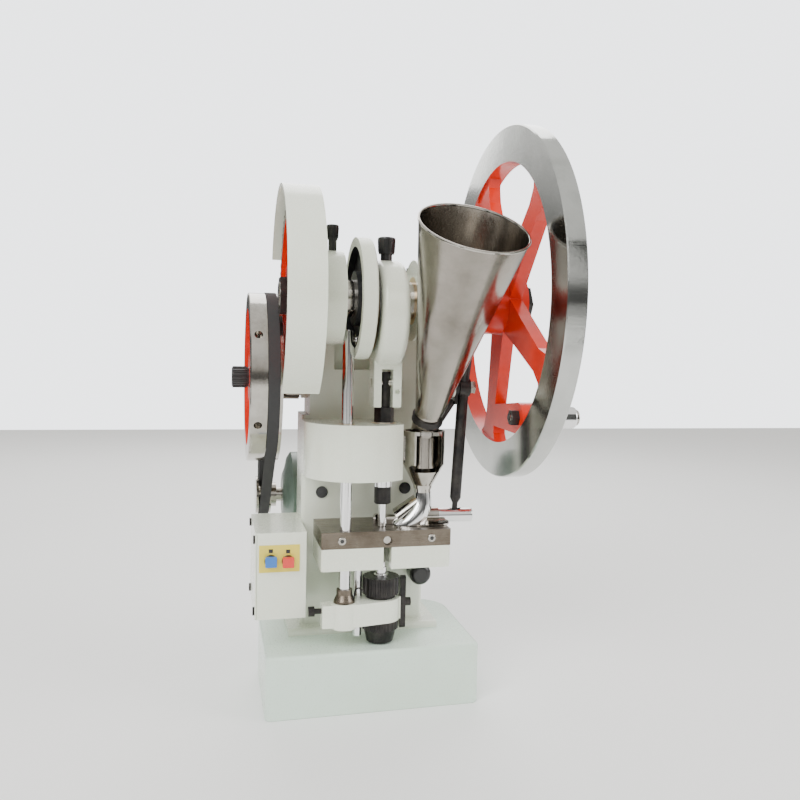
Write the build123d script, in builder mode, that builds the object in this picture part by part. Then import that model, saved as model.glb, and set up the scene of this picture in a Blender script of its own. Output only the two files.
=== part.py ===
"""Desktop single-punch tablet press, built as an assembly of separate pieces.

Millimetres. X runs along the main shaft, from the gear side to the flywheel side, Y runs from the
operator to the back, and Z is up. The origin is on the underside of the base, below the main shaft
and midway between the base's two sides. The rest pose is bottom dead centre: the upper punch is down.
"""

from build123d import *
import math
import os

# ---- driving dimensions ----
FIT = 0.06  # radial clearance of a running fit
SEAT = 0.02  # radial clearance of a piece seated on another
GAP = 0.3  # clearance between pieces that pass each other

BASE_WIDTH, BASE_FRONT, BASE_BACK, BASE_TOP = 234.0, -30.0, 147.0, 68.0

SHAFT_Z = 446.0
SHAFT_RADIUS = 20.0
SHAFT_END_RADIUS = 18.0
WHEEL_SEAT_RADIUS = 17.0
THREAD_RADIUS = 14.0

COLUMN_LEFT, COLUMN_RIGHT, COLUMN_FRONT, COLUMN_BACK, COLUMN_TOP = -74.0, 70.0, 50.0, 108.0, 316.0
HEAD_HALF_WIDTH, HEAD_TOP, BOSS_RIGHT, BOSS_RADIUS = 66.0, 480.0, -40.2, 49.6
BLOCK_CENTRE, BLOCK_RADIUS, BLOCK_RIGHT = (-15.0, 22.0), 60.0, 27.0
BLOCK_BOTTOM, BLOCK_TOP = 252.0, 312.0

TABLE_LEFT, TABLE_RIGHT, TABLE_FRONT = -60.0, 82.0, -25.0
TABLE_TOP, PLATE_THICKNESS, SHELF_THICKNESS = 197.3, 18.0, 23.9
PLATE_BOTTOM = TABLE_TOP - PLATE_THICKNESS
SHELF_BOTTOM = PLATE_BOTTOM - SHELF_THICKNESS

PUNCH_X = 9.5
PUNCH_RADIUS, DIE_RADIUS, PUNCH_TIP_Z = 4.6, 12.0, 197.8
RAM_RADIUS, RAM_BOTTOM, RAM_TOP = 10.0, 242.0, 313.0

ECCENTRICITY = 15.0
JOURNAL_DROP = ECCENTRICITY / 2
STRAP_LEFT, STRAP_RIGHT, STRAP_RADIUS = -5.0, 25.0, 57.0
JOURNAL_RADIUS, SLEEVE_RADIUS = 28.0, 39.5
STRAP_Z = SHAFT_Z - ECCENTRICITY
FORK_BOTTOM, FORK_HALF_DEPTH, WRIST_Z = 330.0, 15.0, 356.0

CAM_LEFT, CAM_RIGHT, CAM_RADIUS = -26.5, -11.0, 65.0
GROOVE_INNER, GROOVE_OUTER, GROOVE_DEPTH = 29.5, 55.0, 8.0

ROD_X, ROD_Y, ROD_RADIUS = -33.5, -16.0, 6.2
ROD_BOTTOM, ROD_TOP, ROLLER_Z, ROLLER_RADIUS = 92.0, 412.0, 402.0, 6.0
POST_X, POST_RADIUS = -16.5, 5.0
LIFT_BOTTOM, LIFT_TOP = 94.0, 118.5
FILL_DEPTH = 12.0

GEAR_MODULE, GEAR_TEETH, PINION_TEETH = 3.0, 68, 15
GEAR_LEFT, GEAR_RIGHT = -97.0, -75.0
CENTRE_DISTANCE = GEAR_MODULE * (GEAR_TEETH + PINION_TEETH) / 2
PINION_ANGLE = -45.8
PINION_Y = CENTRE_DISTANCE * math.cos(math.radians(PINION_ANGLE))
PINION_Z = SHAFT_Z + CENTRE_DISTANCE * math.sin(math.radians(PINION_ANGLE))
PINION_SHAFT_RADIUS = 12.0

GUARD_LEFT, GUARD_RIGHT, GUARD_RADIUS, GUARD_WALL = -106.0, -69.0, 115.0, 4.0
GUARD_BACK_ANGLE, GUARD_FRONT_ANGLE = 25.0, 240.0

PULLEY_LEFT, PULLEY_RIGHT, PULLEY_RADIUS = -134.0, -100.0, 96.0
BELT_X, BELT_OUTER_WIDTH, BELT_INNER_WIDTH, BELT_HEIGHT = -109.5, 12.0, 8.4, 9.0
BELT_PITCH_RADIUS, MOTOR_PITCH_RADIUS = 92.5, 19.5
MOTOR_Y, MOTOR_Z, MOTOR_RADIUS, MOTOR_LEFT, MOTOR_RIGHT = 170.0, 205.0, 54.0, -86.0, 62.0

WHEEL_LEFT, WHEEL_RIGHT, WHEEL_RADIUS, WHEEL_INNER = 136.5, 156.8, 194.0, 155.2
HUB_LEFT, HUB_RIGHT, HUB_RADIUS = 118.0, 162.0, 34.0
SPOKE_ANGLES = (136.0, 208.0, 280.0, 352.0, 64.0)
HANDLE_Y, HANDLE_Z, HANDLE_RADIUS = -71.0, 324.0, 11.5

SWING_X, SWING_Y = 56.0, 4.0
DIE_REACH = math.hypot(SWING_X - PUNCH_X, SWING_Y)
SHOE_ANGLE, ARM_ANGLE, ARM_Z = 160.9, -4.0, 207.4
CUP_BOTTOM, CUP_TOP, CUP_RADIUS = 238.0, 303.0, 23.5

HOPPER_NECK = Vector(57.3, -6.0, 317.7)
HOPPER_AXIS = Vector(0.051, -0.522, 0.8514).normalized()
HOPPER_NECK_RADIUS, HOPPER_RIM_RADIUS, HOPPER_LENGTH, HOPPER_WALL = 15.4, 55.3, 228.0, 1.2
SPOUT_BOTTOM = 262.0

PIVOT_Y, PIVOT_Z, PIVOT_RADIUS = 1.2, 352.0, 5.0
FOLLOWER_Y, FOLLOWER_Z, FOLLOWER_RADIUS = -26.0, 420.0, 8.0
FEED_CAM_LEFT, FEED_CAM_RIGHT = 104.5, 111.5

BOX_LEFT, BOX_RIGHT, BOX_FRONT, BOX_BACK, BOX_BOTTOM, BOX_TOP = -126.0, -74.0, -10.0, 95.0, 103.0, 196.0
BUTTON_CENTRES = {"blue_button": (-111.4, 166.4), "red_button": (-93.4, 165.4)}
KNOB_X, KNOB_Z = 61.0, 134.0


# ---- helpers: each adds to, or cuts from, the part being built ----
def block(x0, x1, y0, y1, z0, z1, mode=Mode.ADD):
    """Box between two corners."""
    with Locations(((x0 + x1) / 2, (y0 + y1) / 2, (z0 + z1) / 2)):
        Box(x1 - x0, y1 - y0, z1 - z0, mode=mode)


def x_rod(radius, x0, x1, y, z, mode=Mode.ADD):
    """Cylinder along X."""
    with Locations(Location(((x0 + x1) / 2, y, z), (0, 90, 0))):
        Cylinder(radius, x1 - x0, mode=mode)


def y_rod(radius, x, y0, y1, z, mode=Mode.ADD):
    """Cylinder along Y."""
    with Locations(Location((x, (y0 + y1) / 2, z), (90, 0, 0))):
        Cylinder(radius, y1 - y0, mode=mode)


def z_rod(radius, x, y, z0, z1, mode=Mode.ADD):
    """Cylinder along Z."""
    with Locations((x, y, (z0 + z1) / 2)):
        Cylinder(radius, z1 - z0, mode=mode)


def slant_rod(radius, start, end, mode=Mode.ADD, end_radius=None):
    """Cylinder, or cone where the end radius differs, between two points."""
    start, end = Vector(*start), Vector(*end)
    line = end - start
    middle = Plane(origin=start + line * 0.5, z_dir=line)
    with Locations(middle.location):
        if end_radius is None:
            Cylinder(radius, line.length, mode=mode)
        else:
            Cone(radius, end_radius, line.length, mode=mode)


def x_hex(across_flats, x0, x1, y, z):
    """Hexagonal prism along X."""
    with BuildSketch(Plane.YZ.offset(x0)) as outline:
        with Locations((y, z)):
            RegularPolygon(across_flats / math.sqrt(3), 6)
    extrude(outline.sketch, amount=x1 - x0)


def z_hex(across_flats, x, y, z0, z1):
    """Hexagonal prism along Z."""
    with BuildSketch(Plane.XY.offset(z0)) as outline:
        with Locations((x, y)):
            RegularPolygon(across_flats / math.sqrt(3), 6)
    extrude(outline.sketch, amount=z1 - z0)


def save(piece, name):
    """Names a finished piece and writes it to its own file."""
    piece.label = name
    export_step(piece, f"parts/{name}.step")


def gear_outline(teeth, phase_deg):
    """Closed outline of a spur gear with straight-flanked teeth, one tooth centred at the phase angle."""
    pitch = GEAR_MODULE * teeth / 2
    tip, root = pitch + 0.75 * GEAR_MODULE, pitch - 1.05 * GEAR_MODULE
    root_half, tip_half = 0.28 * math.tau / teeth, 0.13 * math.tau / teeth
    points = []
    for i in range(teeth):
        middle = math.radians(phase_deg) + math.tau * i / teeth
        for radius, offset in ((root, -root_half), (tip, -tip_half), (tip, tip_half), (root, root_half)):
            points.append((radius * math.cos(middle + offset), radius * math.sin(middle + offset)))
    return points


os.makedirs("parts", exist_ok=True)

# ---- base and column ----
with BuildPart() as base:
    block(-BASE_WIDTH / 2, BASE_WIDTH / 2, BASE_FRONT, BASE_BACK, 0, BASE_TOP)
    uprights = base.edges().filter_by(Axis.Z).group_by(Axis.Y)
    fillet(uprights[0], radius=7)
    fillet(uprights[-1], radius=42)
    fillet(base.faces().sort_by(Axis.Z)[-1].edges(), radius=4)
    chamfer(base.faces().sort_by(Axis.Z)[0].edges(), length=1)
save(base.part, "base")

with BuildPart() as column:
    block(COLUMN_LEFT, COLUMN_RIGHT, COLUMN_FRONT, COLUMN_BACK, BASE_TOP, COLUMN_TOP)
    fillet(column.edges().filter_by(Axis.Z), radius=5)
    block(-88, 84, 32, 118, BASE_TOP, BASE_TOP + 7)
    foot_top = column.faces().filter_by(Axis.Z).group_by(Axis.Z)[1].edges().group_by(Axis.Y)[0]
    fillet(foot_top, radius=5)
    block(TABLE_LEFT, TABLE_RIGHT, TABLE_FRONT, COLUMN_FRONT + 1, SHELF_BOTTOM, PLATE_BOTTOM)
    shelf_ends = column.edges().filter_by(Axis.Z).group_by(Axis.Y)[0]
    fillet(shelf_ends, radius=4)
    with BuildSketch(Plane.XY.offset(BLOCK_BOTTOM)):
        with Locations(BLOCK_CENTRE):
            Circle(BLOCK_RADIUS)
        with Locations((BLOCK_CENTRE[0], (BLOCK_CENTRE[1] + COLUMN_FRONT + 1) / 2)):
            Rectangle(2 * BLOCK_RADIUS, COLUMN_FRONT + 1 - BLOCK_CENTRE[1])
        with Locations((BLOCK_RIGHT + 50, 0)):
            Rectangle(100, 200, mode=Mode.SUBTRACT)
        with Locations((0, COLUMN_FRONT + 51)):
            Rectangle(300, 100, mode=Mode.SUBTRACT)
    extrude(amount=BLOCK_TOP - BLOCK_BOTTOM)
    # bores for the guide bushes, the lower punch, the lift rod and the guide post
    z_rod(14 + SEAT, PUNCH_X, 0, BLOCK_BOTTOM, BLOCK_TOP, Mode.SUBTRACT)
    z_rod(9 + SEAT, ROD_X, ROD_Y, BLOCK_BOTTOM, BLOCK_TOP, Mode.SUBTRACT)
    z_rod(10.5, PUNCH_X, 0, SHELF_BOTTOM, PLATE_BOTTOM, Mode.SUBTRACT)
    z_rod(ROD_RADIUS + GAP, ROD_X, ROD_Y, SHELF_BOTTOM, PLATE_BOTTOM, Mode.SUBTRACT)
    z_rod(POST_RADIUS + SEAT, POST_X, 0, SHELF_BOTTOM, SHELF_BOTTOM + 14, Mode.SUBTRACT)
    block(7, 16, TABLE_FRONT, 0, SHELF_BOTTOM, PLATE_BOTTOM, Mode.SUBTRACT)
    # blind holes for the plugs, the side knob and the head's bolts
    for plug_x, plug_z in ((-51, 228), (46, 230.6)):
        y_rod(6, plug_x, COLUMN_FRONT, COLUMN_FRONT + 8, plug_z, Mode.SUBTRACT)
    y_rod(5 + FIT, KNOB_X, COLUMN_FRONT, COLUMN_FRONT + 16, KNOB_Z, Mode.SUBTRACT)
    for bolt_x, bolt_y in ((-54, 60), (54, 60), (54, 98), (0, 98)):
        z_rod(5 + SEAT, bolt_x, bolt_y, COLUMN_TOP - 30, COLUMN_TOP, Mode.SUBTRACT)
save(column.part, "column")

with BuildPart() as upper_head:
    block(-HEAD_HALF_WIDTH, HEAD_HALF_WIDTH, COLUMN_FRONT, COLUMN_BACK, COLUMN_TOP, HEAD_TOP)
    fillet(upper_head.edges().filter_by(Axis.X).sort_by(Axis.Z)[-2:], radius=10)
    # clearance pocket behind the cam and the strap
    block(-39, 38, COLUMN_FRONT, 72, 368, HEAD_TOP, Mode.SUBTRACT)
    # bearing bosses, left and right, each on a web
    x_rod(BOSS_RADIUS, GUARD_RIGHT, BOSS_RIGHT, 0, SHAFT_Z)
    block(GUARD_RIGHT, BOSS_RIGHT, 0, COLUMN_FRONT + 8, SHAFT_Z - 44, HEAD_TOP - 2)
    x_rod(44, 38, 42, 0, SHAFT_Z)
    x_rod(39, 41, 51, 0, SHAFT_Z)
    block(38, 50, 0, COLUMN_FRONT + 8, SHAFT_Z - 40, HEAD_TOP - 3)
    x_rod(34, 50, 90, 0, SHAFT_Z)
    block(50, HEAD_HALF_WIDTH, 0, COLUMN_FRONT + 8, SHAFT_Z - 28, SHAFT_Z + 28)
    x_rod(24, -72, -60, PINION_Y, PINION_Z)
    x_rod(26 + SEAT, GUARD_RIGHT, BOSS_RIGHT, 0, SHAFT_Z, Mode.SUBTRACT)
    x_rod(26 + SEAT, 38, 90, 0, SHAFT_Z, Mode.SUBTRACT)
    x_rod(16 + SEAT, -72, -18, PINION_Y, PINION_Z, Mode.SUBTRACT)
    for bolt_x, bolt_y in ((-54, 60), (54, 60), (54, 98), (0, 98)):
        z_rod(5 + SEAT, bolt_x, bolt_y, COLUMN_TOP, HEAD_TOP, Mode.SUBTRACT)
    for screw_y in (68, 92):
        x_rod(3 + SEAT, HEAD_HALF_WIDTH - 12, HEAD_HALF_WIDTH, screw_y, PIVOT_Z, Mode.SUBTRACT)
    for i in range(3):
        angle = math.radians(90 + 60 * i)
        x_rod(3 + SEAT, GUARD_RIGHT, GUARD_RIGHT + 12, 38 * math.cos(angle), SHAFT_Z + 38 * math.sin(angle),
              Mode.SUBTRACT)
    z_rod(3 + SEAT, -50, 0, SHAFT_Z + 41, SHAFT_Z + 50, Mode.SUBTRACT)
save(upper_head.part, "upper_head")

with BuildPart() as bushes:
    for x0, x1 in ((GUARD_RIGHT, BOSS_RIGHT), (38, 90)):
        x_rod(26, x0, x1, 0, SHAFT_Z)
        x_rod(SHAFT_RADIUS + FIT, x0, x1, 0, SHAFT_Z, Mode.SUBTRACT)
    x_rod(16, -72, -20, PINION_Y, PINION_Z)
    x_rod(PINION_SHAFT_RADIUS + FIT, -72, -20, PINION_Y, PINION_Z, Mode.SUBTRACT)
    z_rod(14, PUNCH_X, 0, BLOCK_BOTTOM, BLOCK_TOP)
    z_rod(RAM_RADIUS + FIT, PUNCH_X, 0, BLOCK_BOTTOM, BLOCK_TOP, Mode.SUBTRACT)
    z_rod(9, ROD_X, ROD_Y, BLOCK_BOTTOM, BLOCK_TOP)
    z_rod(ROD_RADIUS + FIT, ROD_X, ROD_Y, BLOCK_BOTTOM, BLOCK_TOP, Mode.SUBTRACT)
save(bushes.part, "bushes")

with BuildPart() as column_plugs:
    for plug_x, plug_z in ((-51, 228), (46, 230.6)):
        y_rod(5.9, plug_x, COLUMN_FRONT, COLUMN_FRONT + 6, plug_z)
        y_rod(6.8, plug_x, COLUMN_FRONT - 1.4, COLUMN_FRONT, plug_z)
save(column_plugs.part, "column_plugs")

# ---- table: steel plate, die and its screws ----
with BuildPart() as table_plate:
    block(TABLE_LEFT, TABLE_RIGHT, TABLE_FRONT, COLUMN_FRONT, PLATE_BOTTOM, TABLE_TOP)
    chamfer(table_plate.edges().filter_by(Axis.Z).group_by(Axis.Y)[0], length=1)
    z_rod(DIE_RADIUS + SEAT, PUNCH_X, 0, PLATE_BOTTOM, TABLE_TOP, Mode.SUBTRACT)
    z_rod(ROD_RADIUS + GAP, ROD_X, ROD_Y, PLATE_BOTTOM, TABLE_TOP, Mode.SUBTRACT)
    z_rod(12 + FIT, SWING_X, SWING_Y, TABLE_TOP - 7, TABLE_TOP, Mode.SUBTRACT)
    y_rod(4 + SEAT, 11.5, TABLE_FRONT, -9, 186.5, Mode.SUBTRACT)
    y_rod(5, 11.5, TABLE_FRONT, TABLE_FRONT + 4, 186.5, Mode.SUBTRACT)
    for screw_x in (-38.2, 60.1):
        y_rod(4.6, screw_x, TABLE_FRONT, TABLE_FRONT + 2, 188, Mode.SUBTRACT)
save(table_plate.part, "table_plate")

with BuildPart() as table_screws:
    for screw_x in (-38.2, 60.1):
        y_rod(4.5, screw_x, TABLE_FRONT - 1.5, TABLE_FRONT + 2, 188)
    fillet(table_screws.faces().group_by(Axis.Y)[0].edges(), radius=1)
    y_rod(4, 11.5, TABLE_FRONT + 4, -12.4, 186.5)
save(table_screws.part, "table_screws")

with BuildPart() as die:
    z_rod(DIE_RADIUS, PUNCH_X, 0, PLATE_BOTTOM, TABLE_TOP)
    z_rod(PUNCH_RADIUS + FIT, PUNCH_X, 0, PLATE_BOTTOM, TABLE_TOP, Mode.SUBTRACT)
save(die.part, "die")

# ---- main shaft and what turns with it ----
with BuildPart() as main_shaft:
    x_rod(THREAD_RADIUS, -106, GEAR_LEFT, 0, SHAFT_Z)
    x_rod(SHAFT_END_RADIUS, GEAR_LEFT, GEAR_RIGHT, 0, SHAFT_Z)
    x_rod(SHAFT_RADIUS, GEAR_RIGHT, 91, 0, SHAFT_Z)
    x_rod(JOURNAL_RADIUS, STRAP_LEFT + 0.5, STRAP_RIGHT - 0.5, 0, SHAFT_Z - JOURNAL_DROP)
    x_rod(SHAFT_END_RADIUS, 91, HUB_LEFT, 0, SHAFT_Z)
    x_rod(WHEEL_SEAT_RADIUS, HUB_LEFT, HUB_RIGHT, 0, SHAFT_Z)
    x_rod(THREAD_RADIUS, HUB_RIGHT, HUB_RIGHT + 12, 0, SHAFT_Z)
save(main_shaft.part, "main_shaft")

with BuildPart() as big_gear:
    with BuildSketch(Plane.YZ.offset(GEAR_LEFT)):
        with Locations((0, SHAFT_Z)):
            Polygon(*gear_outline(GEAR_TEETH, PINION_ANGLE), align=None)
    extrude(amount=GEAR_RIGHT - GEAR_LEFT)
    for x0, x1 in ((GEAR_LEFT, GEAR_LEFT + 7), (GEAR_RIGHT - 7, GEAR_RIGHT)):
        with BuildSketch(Plane.YZ.offset(x0)):
            with Locations((0, SHAFT_Z)):
                Circle(88)
                Circle(32, mode=Mode.SUBTRACT)
        extrude(amount=x1 - x0, mode=Mode.SUBTRACT)
    x_rod(SHAFT_END_RADIUS + SEAT, GEAR_LEFT, GEAR_RIGHT, 0, SHAFT_Z, Mode.SUBTRACT)
save(big_gear.part, "big_gear")

with BuildPart() as shaft_nuts:
    x_hex(38, GEAR_LEFT - 8, GEAR_LEFT, 0, SHAFT_Z)
    x_hex(38, HUB_RIGHT, HUB_RIGHT + 10, 0, SHAFT_Z)
    x_hex(15, WHEEL_LEFT - 6.5, WHEEL_LEFT + 1.5, HANDLE_Y, HANDLE_Z)
    x_rod(THREAD_RADIUS + SEAT, GEAR_LEFT - 8, GEAR_LEFT, 0, SHAFT_Z, Mode.SUBTRACT)
    x_rod(THREAD_RADIUS + SEAT, HUB_RIGHT, HUB_RIGHT + 10, 0, SHAFT_Z, Mode.SUBTRACT)
    x_rod(5 + SEAT, WHEEL_LEFT - 6.5, WHEEL_LEFT + 1.5, HANDLE_Y, HANDLE_Z, Mode.SUBTRACT)
save(shaft_nuts.part, "shaft_nuts")

with BuildPart() as ejection_cam:
    x_rod(CAM_RADIUS, CAM_LEFT, CAM_RIGHT, 0, SHAFT_Z)
    fillet(ejection_cam.edges().group_by(Axis.X)[-1], radius=2)
    with BuildSketch(Plane.YZ.offset(CAM_LEFT)):
        with Locations((0, SHAFT_Z)):
            Circle(GROOVE_OUTER)
            Circle(GROOVE_INNER, mode=Mode.SUBTRACT)
    extrude(amount=GROOVE_DEPTH, mode=Mode.SUBTRACT)
    x_rod(SHAFT_RADIUS + SEAT, CAM_LEFT, CAM_RIGHT, 0, SHAFT_Z, Mode.SUBTRACT)
save(ejection_cam.part, "ejection_cam")

with BuildPart() as feed_cam:
    with BuildSketch(Plane.YZ.offset(FEED_CAM_LEFT)):
        with Locations((0, SHAFT_Z)):
            Circle(24)
            with PolarLocations(19, 3):
                Circle(9)
            Circle(SHAFT_END_RADIUS + SEAT, mode=Mode.SUBTRACT)
    extrude(amount=FEED_CAM_RIGHT - FEED_CAM_LEFT)
save(feed_cam.part, "feed_cam")

with BuildPart() as flywheel:
    x_rod(WHEEL_RADIUS, WHEEL_LEFT, WHEEL_RIGHT, 0, SHAFT_Z)
    chamfer(flywheel.edges().filter_by(GeomType.CIRCLE), length=1.2)
    x_rod(WHEEL_INNER, WHEEL_LEFT, WHEEL_RIGHT, 0, SHAFT_Z, Mode.SUBTRACT)
    spoke_profile = [(24, 20), (60, 17), (128, 13), (146, 17), (157, 28)]
    with BuildSketch(Plane.YZ.offset(WHEEL_LEFT + 3)):
        with Locations((0, SHAFT_Z)):
            for spoke_angle in SPOKE_ANGLES:
                outline = spoke_profile + [(r, -half) for r, half in reversed(spoke_profile)]
                Polygon(*outline, rotation=spoke_angle, align=None)
    extrude(amount=14)
    # lug that carries the handle, joined to the spoke beside it
    x_rod(16, WHEEL_LEFT + 1.5, WHEEL_RIGHT - 3, HANDLE_Y, HANDLE_Z)
    with BuildSketch(Plane.YZ.offset(WHEEL_LEFT + 3)):
        Polygon((HANDLE_Y + 4, HANDLE_Z - 18), (HANDLE_Y, HANDLE_Z + 16), (14, HANDLE_Z + 8), (14, HANDLE_Z - 16),
                align=None)
    extrude(amount=14)
    x_rod(HUB_RADIUS, HUB_LEFT, HUB_RIGHT, 0, SHAFT_Z)
    x_rod(WHEEL_SEAT_RADIUS + SEAT, HUB_LEFT, HUB_RIGHT, 0, SHAFT_Z, Mode.SUBTRACT)
    x_rod(5 + SEAT, WHEEL_LEFT, WHEEL_RIGHT, HANDLE_Y, HANDLE_Z, Mode.SUBTRACT)
save(flywheel.part, "flywheel")

with BuildPart() as handle_pin:
    x_rod(5, WHEEL_LEFT - 8, 206.5, HANDLE_Y, HANDLE_Z)
    x_rod(8.5, 203.5, 206.5, HANDLE_Y, HANDLE_Z)
    fillet(handle_pin.edges().group_by(Axis.X)[-1], radius=1.2)
save(handle_pin.part, "handle_pin")

with BuildPart() as handle_sleeve:
    x_rod(HANDLE_RADIUS, WHEEL_RIGHT + 0.6, 203.1, HANDLE_Y, HANDLE_Z)
    fillet(handle_sleeve.edges().filter_by(GeomType.CIRCLE), radius=2.5)
    x_rod(5 + FIT, WHEEL_RIGHT + 0.6, 203.1, HANDLE_Y, HANDLE_Z, Mode.SUBTRACT)
save(handle_sleeve.part, "handle_sleeve")

# ---- eccentric, strap and ram ----
with BuildPart() as eccentric_sleeve:
    x_rod(SLEEVE_RADIUS, STRAP_LEFT + 0.8, STRAP_RIGHT - 0.8, 0, STRAP_Z)
    x_rod(JOURNAL_RADIUS + FIT, STRAP_LEFT + 0.8, STRAP_RIGHT - 0.8, 0, SHAFT_Z - JOURNAL_DROP, Mode.SUBTRACT)
save(eccentric_sleeve.part, "eccentric_sleeve")

with BuildPart() as strap:
    x_rod(STRAP_RADIUS, STRAP_LEFT, STRAP_RIGHT, 0, STRAP_Z)
    fillet(strap.edges().filter_by(GeomType.CIRCLE), radius=7)
    block(STRAP_LEFT, STRAP_RIGHT, -FORK_HALF_DEPTH, FORK_HALF_DEPTH, FORK_BOTTOM, STRAP_Z - 44)

    block(PUNCH_X - 6.4, PUNCH_X + 6.4, -20, 20, FORK_BOTTOM, 371, Mode.SUBTRACT)
    x_rod(SLEEVE_RADIUS + FIT, STRAP_LEFT, STRAP_RIGHT, 0, STRAP_Z, Mode.SUBTRACT)
    x_rod(5 + SEAT, STRAP_LEFT, STRAP_RIGHT, 0, WRIST_Z, Mode.SUBTRACT)
    y_rod(2.6, 20.8, -FORK_HALF_DEPTH, -FORK_HALF_DEPTH + 4, 347, Mode.SUBTRACT)
    z_rod(3 + SEAT, 8.5, 0, STRAP_Z + 46, STRAP_Z + 58, Mode.SUBTRACT)
save(strap.part, "strap")

with BuildPart() as wrist_pin:
    x_rod(5, STRAP_LEFT, STRAP_RIGHT, 0, WRIST_Z)
save(wrist_pin.part, "wrist_pin")

with BuildPart() as ram_stud:
    z_rod(6, PUNCH_X, 0, RAM_TOP, 368)
    x_rod(5 + SEAT, 0, 20, 0, WRIST_Z, Mode.SUBTRACT)
save(ram_stud.part, "ram_stud")

with BuildPart() as ram_nuts:
    z_hex(19, PUNCH_X, 0, RAM_TOP, 329)
    z_rod(6 + SEAT, PUNCH_X, 0, RAM_TOP, 329, Mode.SUBTRACT)
    z_rod(9.2, PUNCH_X, 0, 223, 241.8)
    chamfer(ram_nuts.edges().filter_by(GeomType.CIRCLE).group_by(Axis.Z)[0], length=1)
    z_rod(7 + SEAT, PUNCH_X, 0, 226, 241.8, Mode.SUBTRACT)
    z_rod(PUNCH_RADIUS + SEAT, PUNCH_X, 0, 223, 226, Mode.SUBTRACT)
save(ram_nuts.part, "ram_nuts")

with BuildPart() as ram:
    z_rod(RAM_RADIUS, PUNCH_X, 0, RAM_BOTTOM, RAM_TOP)
    z_rod(7, PUNCH_X, 0, RAM_BOTTOM - 14, RAM_BOTTOM)
save(ram.part, "ram")

with BuildPart() as upper_punch:
    z_rod(PUNCH_RADIUS, PUNCH_X, 0, PUNCH_TIP_Z, 226)
    z_rod(6.8, PUNCH_X, 0, 226, RAM_BOTTOM - 14)
save(upper_punch.part, "upper_punch")


def oil_cup(x, seat_z, stem_radius, cap_radius, stem_height, cap_height):
    """Oil cup with a screwed stem and a domed cap."""
    z_rod(3, x, 0, seat_z - 8, seat_z)
    z_rod(stem_radius, x, 0, seat_z, seat_z + stem_height)
    with Locations((x, 0, seat_z + stem_height)):
        Cone(cap_radius - 1.4, cap_radius, cap_height, align=(Align.CENTER, Align.CENTER, Align.MIN))


with BuildPart() as left_oil_cup:
    oil_cup(-50, SHAFT_Z + 50, 4.4, 6.6, 11, 16)
    fillet(left_oil_cup.faces().sort_by(Axis.Z)[-1].edges(), radius=1.5)
save(left_oil_cup.part, "left_oil_cup")

with BuildPart() as strap_oil_cup:
    oil_cup(8.5, STRAP_Z + STRAP_RADIUS, 6.2, 9.8, 7, 18)
    fillet(strap_oil_cup.faces().sort_by(Axis.Z)[-1].edges(), radius=2)
save(strap_oil_cup.part, "strap_oil_cup")

# ---- gear guard ----
guard_first, guard_last = math.radians(GUARD_BACK_ANGLE), math.radians(GUARD_FRONT_ANGLE)


def around_shaft(radius, angle):
    """Point at a distance and an angle from the main shaft, in the YZ plane."""
    return (radius * math.cos(angle), radius * math.sin(angle))


band_inner = GUARD_RADIUS - GUARD_WALL
with BuildPart() as gear_guard:
    for start, depth, inner, outer in ((GUARD_LEFT, GUARD_RIGHT - GUARD_LEFT, band_inner, GUARD_RADIUS),
                                       (GUARD_RIGHT - 3, 3, 30, band_inner + 0.5)):
        middle = (guard_first + guard_last) / 2
        with BuildSketch(Plane(origin=(start, 0, SHAFT_Z), x_dir=(0, 1, 0), z_dir=(1, 0, 0))):
            with BuildLine():
                ThreePointArc(around_shaft(outer, guard_first), around_shaft(outer, middle),
                              around_shaft(outer, guard_last))
                Line(around_shaft(outer, guard_last), around_shaft(inner, guard_last))
                ThreePointArc(around_shaft(inner, guard_last), around_shaft(inner, middle),
                              around_shaft(inner, guard_first))
                Line(around_shaft(inner, guard_first), around_shaft(outer, guard_first))
            make_face()
        extrude(amount=depth)
    for i in range(3):
        angle = math.radians(90 + 60 * i)
        x_rod(3 + SEAT, GUARD_RIGHT - 3, GUARD_RIGHT, 38 * math.cos(angle), SHAFT_Z + 38 * math.sin(angle),
              Mode.SUBTRACT)
save(gear_guard.part, "gear_guard")

# ---- pinion shaft, pulley, belt and motor ----
with BuildPart() as pinion_shaft:
    with BuildSketch(Plane.YZ.offset(GEAR_LEFT)):
        with Locations((PINION_Y, PINION_Z)):
            half_tooth = 180 / PINION_TEETH
            Polygon(*gear_outline(PINION_TEETH, PINION_ANGLE + 180 + half_tooth), align=None)
    extrude(amount=GEAR_RIGHT - GEAR_LEFT)
    x_rod(PINION_SHAFT_RADIUS, PULLEY_LEFT + 2, GEAR_LEFT, PINION_Y, PINION_Z)
    x_rod(PINION_SHAFT_RADIUS, GEAR_RIGHT, -22, PINION_Y, PINION_Z)
save(pinion_shaft.part, "pinion_shaft")

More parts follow.
